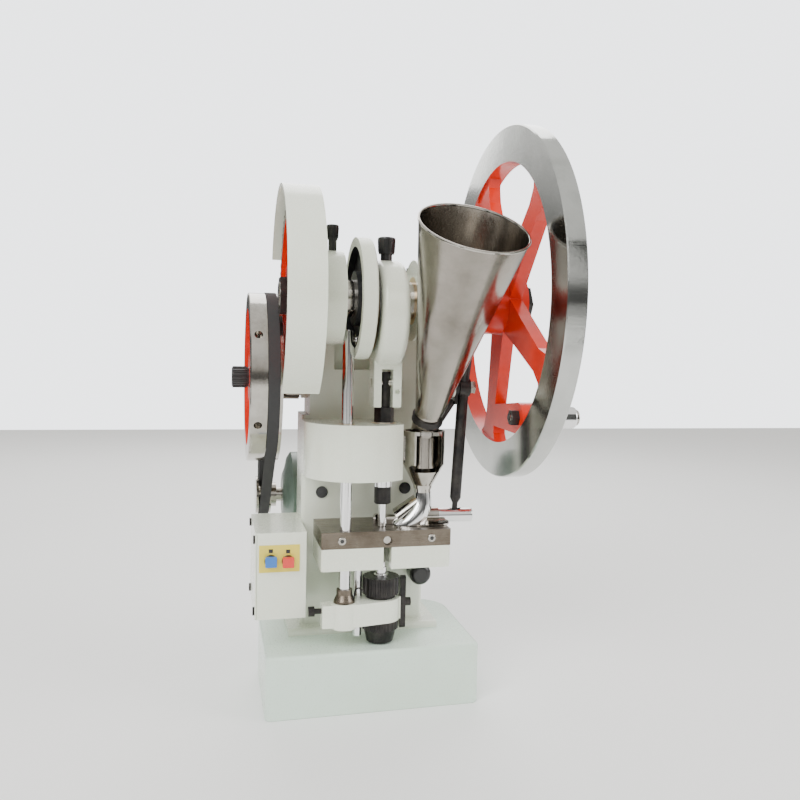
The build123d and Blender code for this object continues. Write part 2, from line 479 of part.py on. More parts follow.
groove_half_top = BELT_OUTER_WIDTH / 2 + 0.4
groove_half_bottom = BELT_INNER_WIDTH / 2 - 0.2
with BuildPart() as belt_pulley:
    pulley_axis = Axis((0, PINION_Y, PINION_Z), (1, 0, 0))
    with BuildSketch(Plane(origin=(0, PINION_Y, PINION_Z), x_dir=(1, 0, 0), z_dir=(0, -1, 0))):
        Polygon(
            (PULLEY_LEFT, 78), (PULLEY_LEFT, 95), (PULLEY_LEFT + 1, PULLEY_RADIUS),
            (BELT_X - groove_half_top, PULLEY_RADIUS), (BELT_X - groove_half_bottom, 84.5),
            (BELT_X + groove_half_bottom, 84.5), (BELT_X + groove_half_top, PULLEY_RADIUS),
            (PULLEY_RIGHT, PULLEY_RADIUS), (PULLEY_RIGHT, 76), (-112, 76), (-112, 26), (-101, 26),
            (-101, PINION_SHAFT_RADIUS + FIT), (PULLEY_LEFT + 2, PINION_SHAFT_RADIUS + FIT), (PULLEY_LEFT + 2, 26),
            (-124, 26), (-124, 78), align=None)
    revolve(axis=pulley_axis)
    for i in range(6):
        angle = math.radians(30 + 60 * i)
        tip = (-125.5, PINION_Y + 97 * math.cos(angle), PINION_Z + 97 * math.sin(angle))
        root = (-125.5, PINION_Y + 86 * math.cos(angle), PINION_Z + 86 * math.sin(angle))
        slant_rod(4.5, tip, root, Mode.SUBTRACT)
save(belt_pulley.part, "belt_pulley")

with BuildPart() as pulley_knob:
    x_rod(HANDLE_RADIUS, -151, PULLEY_LEFT + 2, PINION_Y, PINION_Z)
    fillet(pulley_knob.edges().group_by(Axis.X)[0], radius=1.5)
save(pulley_knob.part, "pulley_knob")

belt_length = math.hypot(MOTOR_Y - PINION_Y, MOTOR_Z - PINION_Z)
belt_heading = math.atan2(MOTOR_Z - PINION_Z, MOTOR_Y - PINION_Y)
belt_wrap = math.acos((BELT_PITCH_RADIUS - MOTOR_PITCH_RADIUS) / belt_length)


def belt_point(centre, radius, angle):
    """Point on the belt's pitch line."""
    return (BELT_X, centre[0] + radius * math.cos(angle), centre[1] + radius * math.sin(angle))


big_centre, small_centre = (PINION_Y, PINION_Z), (MOTOR_Y, MOTOR_Z)
big_ends = [belt_point(big_centre, BELT_PITCH_RADIUS, belt_heading + side * belt_wrap) for side in (1, -1)]
small_ends = [belt_point(small_centre, MOTOR_PITCH_RADIUS, belt_heading + side * belt_wrap) for side in (1, -1)]
with BuildPart() as v_belt:
    with BuildLine() as belt_path:
        ThreePointArc(big_ends[0], belt_point(big_centre, BELT_PITCH_RADIUS, belt_heading + math.pi), big_ends[1])
        Line(big_ends[1], small_ends[1])
        ThreePointArc(small_ends[1], belt_point(small_centre, MOTOR_PITCH_RADIUS, belt_heading), small_ends[0])
        Line(small_ends[0], big_ends[0])
    outward = Vector(*belt_point((0, 0), 1, belt_heading + math.pi)) - Vector(BELT_X, 0, 0)
    section_origin = belt_point(big_centre, BELT_PITCH_RADIUS, belt_heading + math.pi)
    with BuildSketch(Plane(origin=section_origin, x_dir=(1, 0, 0), z_dir=Vector(1, 0, 0).cross(outward))):
        half_height = BELT_HEIGHT / 2
        Polygon((-BELT_INNER_WIDTH / 2, -half_height), (BELT_INNER_WIDTH / 2, -half_height),
                (BELT_OUTER_WIDTH / 2, half_height), (-BELT_OUTER_WIDTH / 2, half_height), align=None)
    sweep(path=belt_path.wires()[0])
save(v_belt.part, "v_belt")

with BuildPart() as motor_pulley:
    motor_axis = Axis((0, MOTOR_Y, MOTOR_Z), (1, 0, 0))
    with BuildSketch(Plane(origin=(0, MOTOR_Y, MOTOR_Z), x_dir=(1, 0, 0), z_dir=(0, -1, 0))):
        Polygon(
            (-119, 0), (-119, 23), (BELT_X - groove_half_top, 23), (BELT_X - groove_half_bottom, 11.5),
            (BELT_X + groove_half_bottom, 11.5), (BELT_X + groove_half_top, 23), (-101, 23), (-101, 15), (-94, 15),
            (-94, 9), (-60, 9), (-60, 0), align=None)
    revolve(axis=motor_axis)
save(motor_pulley.part, "motor_pulley")

with BuildPart() as motor_body:
    x_rod(MOTOR_RADIUS, MOTOR_LEFT, MOTOR_RIGHT, MOTOR_Y, MOTOR_Z)
    fillet(motor_body.edges().filter_by(GeomType.CIRCLE), radius=8)
    for x0, x1 in ((MOTOR_LEFT + 22, MOTOR_LEFT + 25), (MOTOR_RIGHT - 31, MOTOR_RIGHT - 28)):
        with BuildSketch(Plane.YZ.offset(x0)):
            with Locations((MOTOR_Y, MOTOR_Z)):
                Circle(MOTOR_RADIUS)
                Circle(MOTOR_RADIUS - 2, mode=Mode.SUBTRACT)
        extrude(amount=x1 - x0, mode=Mode.SUBTRACT)
    x_rod(9 + FIT, MOTOR_LEFT, -58, MOTOR_Y, MOTOR_Z, Mode.SUBTRACT)
save(motor_body.part, "motor_body")

with BuildPart() as motor_mount:
    block(-50, 50, COLUMN_BACK, COLUMN_BACK + 6, 150, 262)
    block(-36, 36, COLUMN_BACK + 6, MOTOR_Y - 20, MOTOR_Z - 40, MOTOR_Z + 40)
    x_rod(MOTOR_RADIUS + SEAT, -60, 60, MOTOR_Y, MOTOR_Z, Mode.SUBTRACT)
    for screw_x in (-43, 43):
        for screw_z in (158, 254):
            y_rod(3 + SEAT, screw_x, COLUMN_BACK, COLUMN_BACK + 6, screw_z, Mode.SUBTRACT)
save(motor_mount.part, "motor_mount")

# ---- lift rod, lifting bracket, adjusting gears and lower punch ----
with BuildPart() as lift_rod:
    z_rod(ROD_RADIUS, ROD_X, ROD_Y, ROD_BOTTOM, ROD_TOP)
    chamfer(lift_rod.edges().filter_by(GeomType.CIRCLE), length=0.8)
    x_rod(3, ROD_X, CAM_LEFT + GROOVE_DEPTH - 1, ROD_Y, ROLLER_Z)
save(lift_rod.part, "lift_rod")

with BuildPart() as cam_roller:
    x_rod(ROLLER_RADIUS, CAM_LEFT + 0.5, CAM_LEFT + GROOVE_DEPTH - 1.2, ROD_Y, ROLLER_Z)
    x_rod(3 + FIT, CAM_LEFT + 0.5, CAM_LEFT + GROOVE_DEPTH - 1.2, ROD_Y, ROLLER_Z, Mode.SUBTRACT)
save(cam_roller.part, "cam_roller")

with BuildPart() as rod_collar:
    with BuildSketch(Plane(origin=(ROD_X, ROD_Y, 0), x_dir=(1, 0, 0), z_dir=(0, -1, 0))):
        bore = ROD_RADIUS + SEAT
        Polygon((bore, 119.5), (11.7, 119.5), (11.2, 122), (8.6, 128), (8.6, 134), (bore, 134), align=None)
    revolve(axis=Axis((ROD_X, ROD_Y, 0), (0, 0, 1)))
save(rod_collar.part, "rod_collar")

with BuildPart() as lifting_bracket:
    with BuildSketch(Plane.XY.offset(LIFT_BOTTOM)):
        with Locations((ROD_X, ROD_Y)):
            Circle(14)
        with Locations((PUNCH_X, 0)):
            Circle(21)
        Polygon((ROD_X - 4, ROD_Y - 13.4), (PUNCH_X + 7, -19.8), (PUNCH_X, 16), (ROD_X, ROD_Y + 13), align=None)
        with Locations(((ROD_X - 58) / 2, ROD_Y)):
            Rectangle(58 + ROD_X, 18)
        with Locations((PUNCH_X + 17.7, 0)):
            Rectangle(8, 12)
    extrude(amount=LIFT_TOP - LIFT_BOTTOM)
    z_rod(14, ROD_X, ROD_Y, LIFT_BOTTOM - 2, LIFT_TOP + 1)
    z_rod(ROD_RADIUS + SEAT, ROD_X, ROD_Y, LIFT_BOTTOM - 2, LIFT_TOP + 1, Mode.SUBTRACT)
    z_rod(8 + SEAT, PUNCH_X, 0, LIFT_BOTTOM, LIFT_TOP, Mode.SUBTRACT)
    z_rod(POST_RADIUS + FIT, POST_X, 0, LIFT_BOTTOM, LIFT_TOP, Mode.SUBTRACT)
    x_rod(3 + SEAT, -58, ROD_X, ROD_Y, 111, Mode.SUBTRACT)
    x_rod(2.5 + SEAT, PUNCH_X + 13, PUNCH_X + 22, 0, 111, Mode.SUBTRACT)
save(lifting_bracket.part, "lifting_bracket")

with BuildPart() as clamp_screws:
    x_rod(5.4, -72, -65.5, ROD_Y, 111)
    x_rod(3, -65.5, ROD_X - ROD_RADIUS - 0.1, ROD_Y, 111)
    x_rod(4.6, PUNCH_X + 28, PUNCH_X + 34, 0, 111)
    x_rod(2.5, PUNCH_X + 14, PUNCH_X + 28, 0, 111)
save(clamp_screws.part, "clamp_screws")

with BuildPart() as gear_lock_bar:
    block(PUNCH_X + 21.8, PUNCH_X + 28, -4, 4, 82, 141)
    fillet(gear_lock_bar.edges().filter_by(Axis.X), radius=3)
    x_rod(2.5 + SEAT, PUNCH_X + 21, PUNCH_X + 29, 0, 111, Mode.SUBTRACT)
save(gear_lock_bar.part, "gear_lock_bar")


def adjusting_teeth(outer, inner, z0, z1, count):
    """Toothed ring on the punch line, cut from a cylinder by round notches."""
    z_rod(outer, PUNCH_X, 0, z0, z1)
    with Locations((PUNCH_X, 0, (z0 + z1) / 2)):
        with PolarLocations(outer + 0.6, count):
            Cylinder(outer - inner, z1 - z0, mode=Mode.SUBTRACT)


with BuildPart() as upper_adjust_gear:
    adjusting_teeth(20.2, 18.6, 123, 142, 24)
    z_rod(16, PUNCH_X, 0, LIFT_TOP + GAP, 123)
    z_rod(8 + FIT, PUNCH_X, 0, LIFT_TOP + GAP, 142, Mode.SUBTRACT)
save(upper_adjust_gear.part, "upper_adjust_gear")

with BuildPart() as lower_adjust_gear:
    adjusting_teeth(20.2, 18.6, 84, LIFT_BOTTOM - GAP, 24)
    with Locations((PUNCH_X, 0, 77)):
        Cone(14.8, 18.2, 14)
    z_rod(8 + FIT, PUNCH_X, 0, 70, LIFT_BOTTOM - GAP, Mode.SUBTRACT)
save(lower_adjust_gear.part, "lower_adjust_gear")

with BuildPart() as lower_punch:
    z_rod(8, PUNCH_X, 0, 71, 144)
    z_rod(6, PUNCH_X, 0, 144, 152)
    z_rod(PUNCH_RADIUS - 0.02, PUNCH_X, 0, 152, TABLE_TOP - FILL_DEPTH)
save(lower_punch.part, "lower_punch")

with BuildPart() as guide_post:
    z_rod(POST_RADIUS, POST_X, 0, 76, SHELF_BOTTOM + 14)
    chamfer(guide_post.edges().group_by(Axis.Z)[0], length=1)
save(guide_post.part, "guide_post")

# ---- feed: lever, shoe, cup and hopper ----
with BuildPart() as lever_bracket:
    block(HEAD_HALF_WIDTH, 76, 58, 102, 338, 366)
    block(76, 88, PIVOT_Y, 102, 343, 361)
    x_rod(12, 76, 88, PIVOT_Y, PIVOT_Z)
    x_rod(PIVOT_RADIUS + SEAT, 76, 88, PIVOT_Y, PIVOT_Z, Mode.SUBTRACT)
    for screw_y in (68, 92):
        x_rod(3 + SEAT, HEAD_HALF_WIDTH, 88, screw_y, PIVOT_Z, Mode.SUBTRACT)
save(lever_bracket.part, "lever_bracket")

with BuildPart() as lever_bolt:
    x_rod(PIVOT_RADIUS, 74, 106.4, PIVOT_Y, PIVOT_Z)
    x_hex(13, 106.4, 112.5, PIVOT_Y, PIVOT_Z)
    x_hex(13, 70.5, 76, PIVOT_Y, PIVOT_Z)
save(lever_bolt.part, "lever_bolt")

pivot = Vector(99.8, PIVOT_Y, PIVOT_Z)
lever_end = Vector(92.5, PIVOT_Y, 203)
lever_line = Plane(origin=lever_end, x_dir=(0, 1, 0), z_dir=Vector(0, 1, 0).cross(pivot - lever_end))
lever_length = (pivot - lever_end).length
with BuildPart() as feed_lever:
    with BuildSketch(lever_line):
        Polygon((0, 0), (0, lever_length), (6.25, lever_length), (6.25, 24), (3.1, 18), (3.1, 1), (2.4, 0), align=None)
    revolve(axis=Axis(lever_end, pivot - lever_end))
    slant_rod(5.6, pivot, (98.5, FOLLOWER_Y, FOLLOWER_Z))
    x_rod(10.5, 93.9, 106, PIVOT_Y, PIVOT_Z)
    x_rod(9, 93.5, 103.5, FOLLOWER_Y, FOLLOWER_Z)
    x_rod(4, 100, 113, FOLLOWER_Y, FOLLOWER_Z)
    x_rod(PIVOT_RADIUS + FIT, 92, 108, PIVOT_Y, PIVOT_Z, Mode.SUBTRACT)
save(feed_lever.part, "feed_lever")

with BuildPart() as lever_roller:
    x_rod(FOLLOWER_RADIUS, FEED_CAM_LEFT, FEED_CAM_RIGHT, FOLLOWER_Y, FOLLOWER_Z)
    x_rod(4 + FIT, FEED_CAM_LEFT, FEED_CAM_RIGHT, FOLLOWER_Y, FOLLOWER_Z, Mode.SUBTRACT)
save(lever_roller.part, "lever_roller")


def around_swing(reach, angle_deg):
    """Point at a distance and an angle from the shoe's pivot."""
    angle = math.radians(angle_deg)
    return (SWING_X + reach * math.cos(angle), SWING_Y + reach * math.sin(angle))


shoe_bottom = TABLE_TOP + GAP
nose_back, nose_front = SHOE_ANGLE - 11, SHOE_ANGLE + 15
with BuildPart() as feed_shoe:
    with BuildSketch(Plane.XY.offset(shoe_bottom)):
        with Locations((SWING_X, SWING_Y)):
            Circle(15)
        with Locations(around_swing(20, ARM_ANGLE)):
            Circle(11)
        Polygon(around_swing(15, 90), around_swing(15, 270), around_swing(23, ARM_ANGLE - 28),
                around_swing(23, ARM_ANGLE + 28), align=None)
    extrude(amount=1.6)
    # nose: two cheeks either side of an arc-shaped slot that the punch passes down
    with BuildSketch(Plane.XY.offset(shoe_bottom)):
        with BuildLine():
            for reach, first, last in ((55, nose_back, nose_front), (20, nose_front, nose_back)):
                ThreePointArc(around_swing(reach, first), around_swing(reach, (first + last) / 2),
                              around_swing(reach, last))
            Line(around_swing(55, nose_front), around_swing(20, nose_front))
            Line(around_swing(20, nose_back), around_swing(55, nose_back))
        make_face()
    extrude(amount=8)
    # rounded chute from the stem down to the nose
    z_rod(9, SWING_X, SWING_Y, shoe_bottom, CUP_BOTTOM)
    slant_rod(12.5, (*around_swing(25, SHOE_ANGLE), 204), (*around_swing(0, 0), 225), end_radius=10)
    block(SWING_X - 70, SWING_X + 40, SWING_Y - 40, SWING_Y + 50, TABLE_TOP - 30, shoe_bottom, Mode.SUBTRACT)
    z_rod(12, SWING_X, SWING_Y, TABLE_TOP - 6, shoe_bottom)
    arm_start = (*around_swing(4, ARM_ANGLE), ARM_Z)
    arm_seat = (*around_swing(18, ARM_ANGLE), ARM_Z)
    slant_rod(9, arm_start, arm_seat)
    block(SWING_X + 13, SWING_X + 40, SWING_Y - 20, SWING_Y + 20, TABLE_TOP - 10, shoe_bottom, Mode.SUBTRACT)
    # powder way: down the stem, along the chute and out above the die
    z_rod(6, SWING_X, SWING_Y, shoe_bottom + 12, CUP_BOTTOM, Mode.SUBTRACT)
    slant_rod(3.4, (*around_swing(43, SHOE_ANGLE - 1), 200.4), (*around_swing(0, 0), 218), Mode.SUBTRACT, 6)
    with BuildSketch(Plane.XY.offset(shoe_bottom)):
        with BuildLine():
            for reach, first, last in ((DIE_REACH + 5.6, SHOE_ANGLE - 1, nose_front + 2),
                                       (DIE_REACH - 5.6, nose_front + 2, SHOE_ANGLE - 1)):
                ThreePointArc(around_swing(reach, first), around_swing(reach, (first + last) / 2),
                              around_swing(reach, last))
            Line(around_swing(DIE_REACH + 5.6, nose_front + 2), around_swing(DIE_REACH - 5.6, nose_front + 2))
            Line(around_swing(DIE_REACH - 5.6, SHOE_ANGLE - 1), around_swing(DIE_REACH + 5.6, SHOE_ANGLE - 1))
        make_face()
        with Locations(around_swing(DIE_REACH, SHOE_ANGLE - 1)):
            Circle(5.6)
    extrude(amount=20, mode=Mode.SUBTRACT)
save(feed_shoe.part, "feed_shoe")

with BuildPart() as feed_arm:
    arm_end = (*around_swing(57, ARM_ANGLE), ARM_Z)
    slant_rod(7.9, arm_seat, arm_end)
    fillet(feed_arm.edges().sort_by(Axis.X)[-1], radius=1.5)
    slot_start, slot_end = around_swing(36.0, ARM_ANGLE), around_swing(39.4, ARM_ANGLE)
    slot = Plane(origin=(0, 0, ARM_Z - 5.6))
    with BuildSketch(slot):
        with Locations(((slot_start[0] + slot_end[0]) / 2, (slot_start[1] + slot_end[1]) / 2)):
            SlotCenterToCenter(4.6, 9.0, rotation=ARM_ANGLE)
    extrude(amount=20, mode=Mode.SUBTRACT)
save(feed_arm.part, "feed_arm")

with BuildPart() as feed_cup:
    with BuildSketch(Plane(origin=(SWING_X, SWING_Y, 0), x_dir=(1, 0, 0), z_dir=(0, -1, 0))):
        Polygon((7, CUP_BOTTOM), (10, CUP_BOTTOM), (10.5, 242), (CUP_RADIUS, 266), (CUP_RADIUS, CUP_TOP),
                (CUP_RADIUS - 2.6, CUP_TOP), (CUP_RADIUS - 2.6, 267), (8, 245), (7, 242), align=None)
    revolve(axis=Axis((SWING_X, SWING_Y, 0), (0, 0, 1)))
    block(SWING_X - 13, SWING_X + 15, SWING_Y - 30, SWING_Y, 258, 299, Mode.SUBTRACT)
    block(SWING_X - 30, SWING_X, SWING_Y - 7, SWING_Y + 12, 268, 297, Mode.SUBTRACT)
save(feed_cup.part, "feed_cup")

across = Vector(1, 0, 0)
across = (across - HOPPER_AXIS * across.dot(HOPPER_AXIS)).normalized()
hopper_plane = Plane(origin=HOPPER_NECK, x_dir=across, z_dir=across.cross(HOPPER_AXIS))
bend = HOPPER_NECK - HOPPER_AXIS * 21
with BuildPart() as hopper:
    for radius_cut, mode, over in ((0, Mode.ADD, 0), (HOPPER_WALL, Mode.SUBTRACT, 3)):
        neck, rim = HOPPER_NECK_RADIUS - radius_cut, HOPPER_RIM_RADIUS - radius_cut
        slope = (HOPPER_RIM_RADIUS - HOPPER_NECK_RADIUS) / (HOPPER_LENGTH - 8)
        with BuildSketch(hopper_plane):
            Polygon((0, -21), (neck, -21), (neck, 8), (rim + slope * over, HOPPER_LENGTH + over),
                    (0, HOPPER_LENGTH + over), align=None)
        revolve(axis=Axis(HOPPER_NECK, HOPPER_AXIS), mode=mode)
        with Locations(bend):
            Sphere(neck, mode=mode)
        z_rod(neck, bend.X, bend.Y, SPOUT_BOTTOM - over, bend.Z, mode)
save(hopper.part, "hopper")

with BuildPart() as hopper_bracket:
    ring_low, ring_high = HOPPER_NECK - HOPPER_AXIS * 3, HOPPER_NECK + HOPPER_AXIS * 4
    slant_rod(17.4, ring_low, ring_high)
    slant_rod(3.8, (87.5, 0, 336.5), (72, -6, 316))
    block(88.3, 91.4, -6, 8, 333, PIVOT_Z)
    x_rod(10, 88.3, 92.4, PIVOT_Y, PIVOT_Z)
    slant_rod(HOPPER_NECK_RADIUS + SEAT, HOPPER_NECK - HOPPER_AXIS * 10, HOPPER_NECK + HOPPER_AXIS * 8, Mode.SUBTRACT)
    x_rod(PIVOT_RADIUS + SEAT, 88, 94, PIVOT_Y, PIVOT_Z, Mode.SUBTRACT)
save(hopper_bracket.part, "hopper_bracket")

# ---- control box and its buttons ----
with BuildPart() as control_box:
    block(BOX_LEFT, BOX_RIGHT, BOX_FRONT, BOX_BACK, BOX_BOTTOM, BOX_TOP)
    fillet(control_box.edges().filter_by(Axis.Z).group_by(Axis.X)[0], radius=2)
    block(BOX_LEFT, BOX_RIGHT - 2, BOX_FRONT + 2, BOX_BACK - 2, BOX_BOTTOM + 2, BOX_TOP - 2, Mode.SUBTRACT)
    for button_x, button_z in BUTTON_CENTRES.values():
        y_rod(4.4, button_x, BOX_FRONT, BOX_FRONT + 2, button_z, Mode.SUBTRACT)
    y_rod(6 + SEAT, -100, BOX_BACK - 2, BOX_BACK, 116, Mode.SUBTRACT)
save(control_box.part, "control_box")

with BuildPart() as box_cover:
    block(BOX_LEFT - 1.5, BOX_LEFT, BOX_FRONT, BOX_BACK, BOX_BOTTOM, BOX_TOP)
    fillet(box_cover.edges().filter_by(Axis.X), radius=3)
    for screw_y in (BOX_FRONT + 7, BOX_BACK - 7):
        for screw_z in (BOX_BOTTOM + 8, BOX_TOP - 8):
            x_rod(3 + SEAT, BOX_LEFT - 1.5, BOX_LEFT, screw_y, screw_z, Mode.SUBTRACT)
save(box_cover.part, "box_cover")

with BuildPart() as label_plate:
    block(-123.5, -81, BOX_FRONT - 0.8, BOX_FRONT, 154, 183)
    for button_x, button_z in BUTTON_CENTRES.values():
        y_rod(4.4, button_x, BOX_FRONT - 1, BOX_FRONT, button_z, Mode.SUBTRACT)
save(label_plate.part, "label_plate")

for button_name, (button_x, button_z) in BUTTON_CENTRES.items():
    with BuildPart() as button:
        block(button_x - 6, button_x + 6, BOX_FRONT - 9, BOX_FRONT - 4, button_z - 5.5, button_z + 5.5)
        fillet(button.edges().filter_by(Axis.Y), radius=1.2)
        fillet(button.faces().sort_by(Axis.Y)[0].edges(), radius=0.8)
        y_rod(4, button_x, BOX_FRONT - 4, BOX_FRONT + 8, button_z)
    save(button.part, button_name)

with BuildPart() as cable_gland:
    y_rod(6, -100, BOX_BACK - 6, BOX_BACK + 12, 116)
    y_rod(9, -100, BOX_BACK, BOX_BACK + 8, 116)
    y_rod(3.5, -100, BOX_BACK - 6, BOX_BACK + 12, 116, Mode.SUBTRACT)
save(cable_gland.part, "cable_gland")

# ---- small fasteners and the side knob ----
with BuildPart() as machine_screws:
    for bolt_x, bolt_y in ((-54, 60), (54, 60), (54, 98), (0, 98)):
        z_rod(5, bolt_x, bolt_y, COLUMN_TOP - 28, HEAD_TOP)
        z_hex(16, bolt_x, bolt_y, HEAD_TOP, HEAD_TOP + 7)
    for i in range(3):
        angle = math.radians(90 + 60 * i)
        screw_y, screw_z = 38 * math.cos(angle), SHAFT_Z + 38 * math.sin(angle)
        x_rod(3, GUARD_RIGHT - 3, GUARD_RIGHT + 10, screw_y, screw_z)
        x_rod(5, GUARD_RIGHT - 5.5, GUARD_RIGHT - 3, screw_y, screw_z)
    for screw_y in (68, 92):
        x_rod(3, HEAD_HALF_WIDTH - 10, 88, screw_y, PIVOT_Z)
        x_rod(5, 88, 91.5, screw_y, PIVOT_Z)
    for screw_y in (BOX_FRONT + 7, BOX_BACK - 7):
        for screw_z in (BOX_BOTTOM + 8, BOX_TOP - 8):
            x_rod(3, BOX_LEFT - 1.5, BOX_LEFT + 6, screw_y, screw_z)
            x_rod(4.6, BOX_LEFT - 3.5, BOX_LEFT - 1.5, screw_y, screw_z)
    for screw_x in (-43, 43):
        for screw_z in (158, 254):
            y_rod(3, screw_x, COLUMN_BACK, COLUMN_BACK + 6, screw_z)
            y_rod(5, screw_x, COLUMN_BACK + 6, COLUMN_BACK + 10, screw_z)
save(machine_screws.part, "machine_screws")

with BuildPart() as side_knob:
    y_rod(5, KNOB_X, COLUMN_FRONT - 6, COLUMN_FRONT + 14, KNOB_Z)
    y_rod(12.5, KNOB_X, COLUMN_FRONT - 30, COLUMN_FRONT - 6, KNOB_Z)
    fillet(side_knob.faces().sort_by(Axis.Y)[0].edges(), radius=6)
    fillet(side_knob.edges().filter_by(GeomType.CIRCLE).group_by(Axis.Y)[-2], radius=2)
save(side_knob.part, "side_knob")
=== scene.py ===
"""Looks of a desktop single-punch tablet press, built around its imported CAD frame. Metres, Z up."""

import logging
import math
from dataclasses import dataclass, field
from enum import Enum
from typing import Iterable, Sequence

import bmesh
import bpy
from mathutils import Matrix, Vector

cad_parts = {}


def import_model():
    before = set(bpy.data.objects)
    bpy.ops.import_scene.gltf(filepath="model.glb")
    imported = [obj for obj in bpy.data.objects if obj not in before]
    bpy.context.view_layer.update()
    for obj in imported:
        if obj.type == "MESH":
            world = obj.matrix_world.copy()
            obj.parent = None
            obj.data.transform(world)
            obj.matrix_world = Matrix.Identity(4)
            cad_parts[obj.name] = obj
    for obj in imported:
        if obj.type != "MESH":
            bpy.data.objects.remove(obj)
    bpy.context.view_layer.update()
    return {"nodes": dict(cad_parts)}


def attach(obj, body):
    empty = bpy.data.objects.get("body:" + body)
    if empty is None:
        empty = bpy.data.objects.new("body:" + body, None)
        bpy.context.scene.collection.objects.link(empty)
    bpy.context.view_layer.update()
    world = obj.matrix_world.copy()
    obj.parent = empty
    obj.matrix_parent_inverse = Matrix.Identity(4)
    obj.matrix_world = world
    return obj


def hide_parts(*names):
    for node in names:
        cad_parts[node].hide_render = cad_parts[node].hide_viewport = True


LOG = logging.getLogger("tablet_press")
SHAFT_HEIGHT = 0.446
GEAR_SPACING = 0.1245
GEAR_SLOPE = math.radians(-45.8)
PINION_CENTRE = (GEAR_SPACING * math.cos(GEAR_SLOPE),
                 SHAFT_HEIGHT + GEAR_SPACING * math.sin(GEAR_SLOPE))
MOTOR_CENTRE = (0.170, 0.205)
RELIEF_DEPTH = 0.0006
COAT_ROUGHNESS = 0.12


class Turning(Enum):
    """Axis that a lathe profile is turned about."""

    ALONG_X = "x"
    ALONG_Y = "y"
    ALONG_Z = "z"


class Grain(Enum):
    """Direction of a surface's fine marks, as how stretched its noise is along X, Y and Z."""

    EVEN = (1.0, 1.0, 1.0)
    ACROSS_X = (0.06, 1.0, 1.0)
    ALONG_Z = (1.0, 1.0, 0.05)


class Repeat(Enum):
    """How copies of a mesh are laid out: in a line along X, or round an axis along X."""

    LINE = "line"
    ROUND = "round"


# ---------------------------------------------------------------- node groups
def add_socket(tree: bpy.types.NodeTree, name: str, kind: str, out: bool = False) -> None:
    """Adds one named socket to a group.

    Args:
        tree: The group.
        name: The socket's name.
        kind: Its type, such as Float or Vector.
        out: Whether it is an output.
    """
    side = "OUTPUT" if out else "INPUT"
    tree.interface.new_socket(name, in_out=side, socket_type=f"NodeSocket{kind}")


def wear_group() -> bpy.types.NodeTree:
    """Node group for uneven colour, fine marks and dust.

    Returns:
        A group that puts out a colour, a roughness and a height.
    """
    name = "handled_surface"
    if name in bpy.data.node_groups:
        return bpy.data.node_groups[name]
    tree = bpy.data.node_groups.new(name, "ShaderNodeTree")
    inputs = (("Clean", "Color"), ("Worn", "Color"), ("Stretch", "Vector"),
              ("Patch Scale", "Float"), ("Mark Scale", "Float"), ("Patch Amount", "Float"),
              ("Roughness Low", "Float"), ("Roughness High", "Float"))
    for label, kind in inputs:
        add_socket(tree, label, kind)
    for label, kind in (("Color", "Color"), ("Roughness", "Float"), ("Height", "Float")):
        add_socket(tree, label, kind, out=True)
    new, link = tree.nodes.new, tree.links.new
    given, result = new("NodeGroupInput"), new("NodeGroupOutput")
    place, stretch = new("ShaderNodeTexCoord"), new("ShaderNodeVectorMath")
    stretch.operation = "MULTIPLY"
    link(place.outputs["Object"], stretch.inputs[0])
    link(given.outputs["Stretch"], stretch.inputs[1])
    patches, marks = new("ShaderNodeTexNoise"), new("ShaderNodeTexNoise")
    patches.inputs["Detail"].default_value = 6.0
    patches.inputs["Roughness"].default_value = 0.62
    marks.inputs["Detail"].default_value = 4.0
    link(place.outputs["Object"], patches.inputs["Vector"])
    link(stretch.outputs[0], marks.inputs["Vector"])
    link(given.outputs["Patch Scale"], patches.inputs["Scale"])
    link(given.outputs["Mark Scale"], marks.inputs["Scale"])
    ramp = new("ShaderNodeMapRange")
    ramp.inputs["From Min"].default_value = 0.42
    ramp.inputs["From Max"].default_value = 0.72
    link(patches.outputs["Fac"], ramp.inputs["Value"])
    strength = new("ShaderNodeMath")
    strength.operation = "MULTIPLY"
    link(ramp.outputs["Result"], strength.inputs[0])
    link(given.outputs["Patch Amount"], strength.inputs[1])
    blend = new("ShaderNodeMix")
    blend.data_type = "RGBA"
    link(strength.outputs[0], blend.inputs["Factor"])
    link(given.outputs["Clean"], blend.inputs["A"])
    link(given.outputs["Worn"], blend.inputs["B"])
    rough = new("ShaderNodeMapRange")
    rough.inputs["From Min"].default_value = 0.3
    rough.inputs["From Max"].default_value = 0.7
    link(marks.outputs["Fac"], rough.inputs["Value"])
    link(given.outputs["Roughness Low"], rough.inputs["To Min"])
    link(given.outputs["Roughness High"], rough.inputs["To Max"])
    link(blend.outputs["Result"], result.inputs["Color"])
    link(rough.outputs["Result"], result.inputs["Roughness"])
    link(marks.outputs["Fac"], result.inputs["Height"])
    return tree


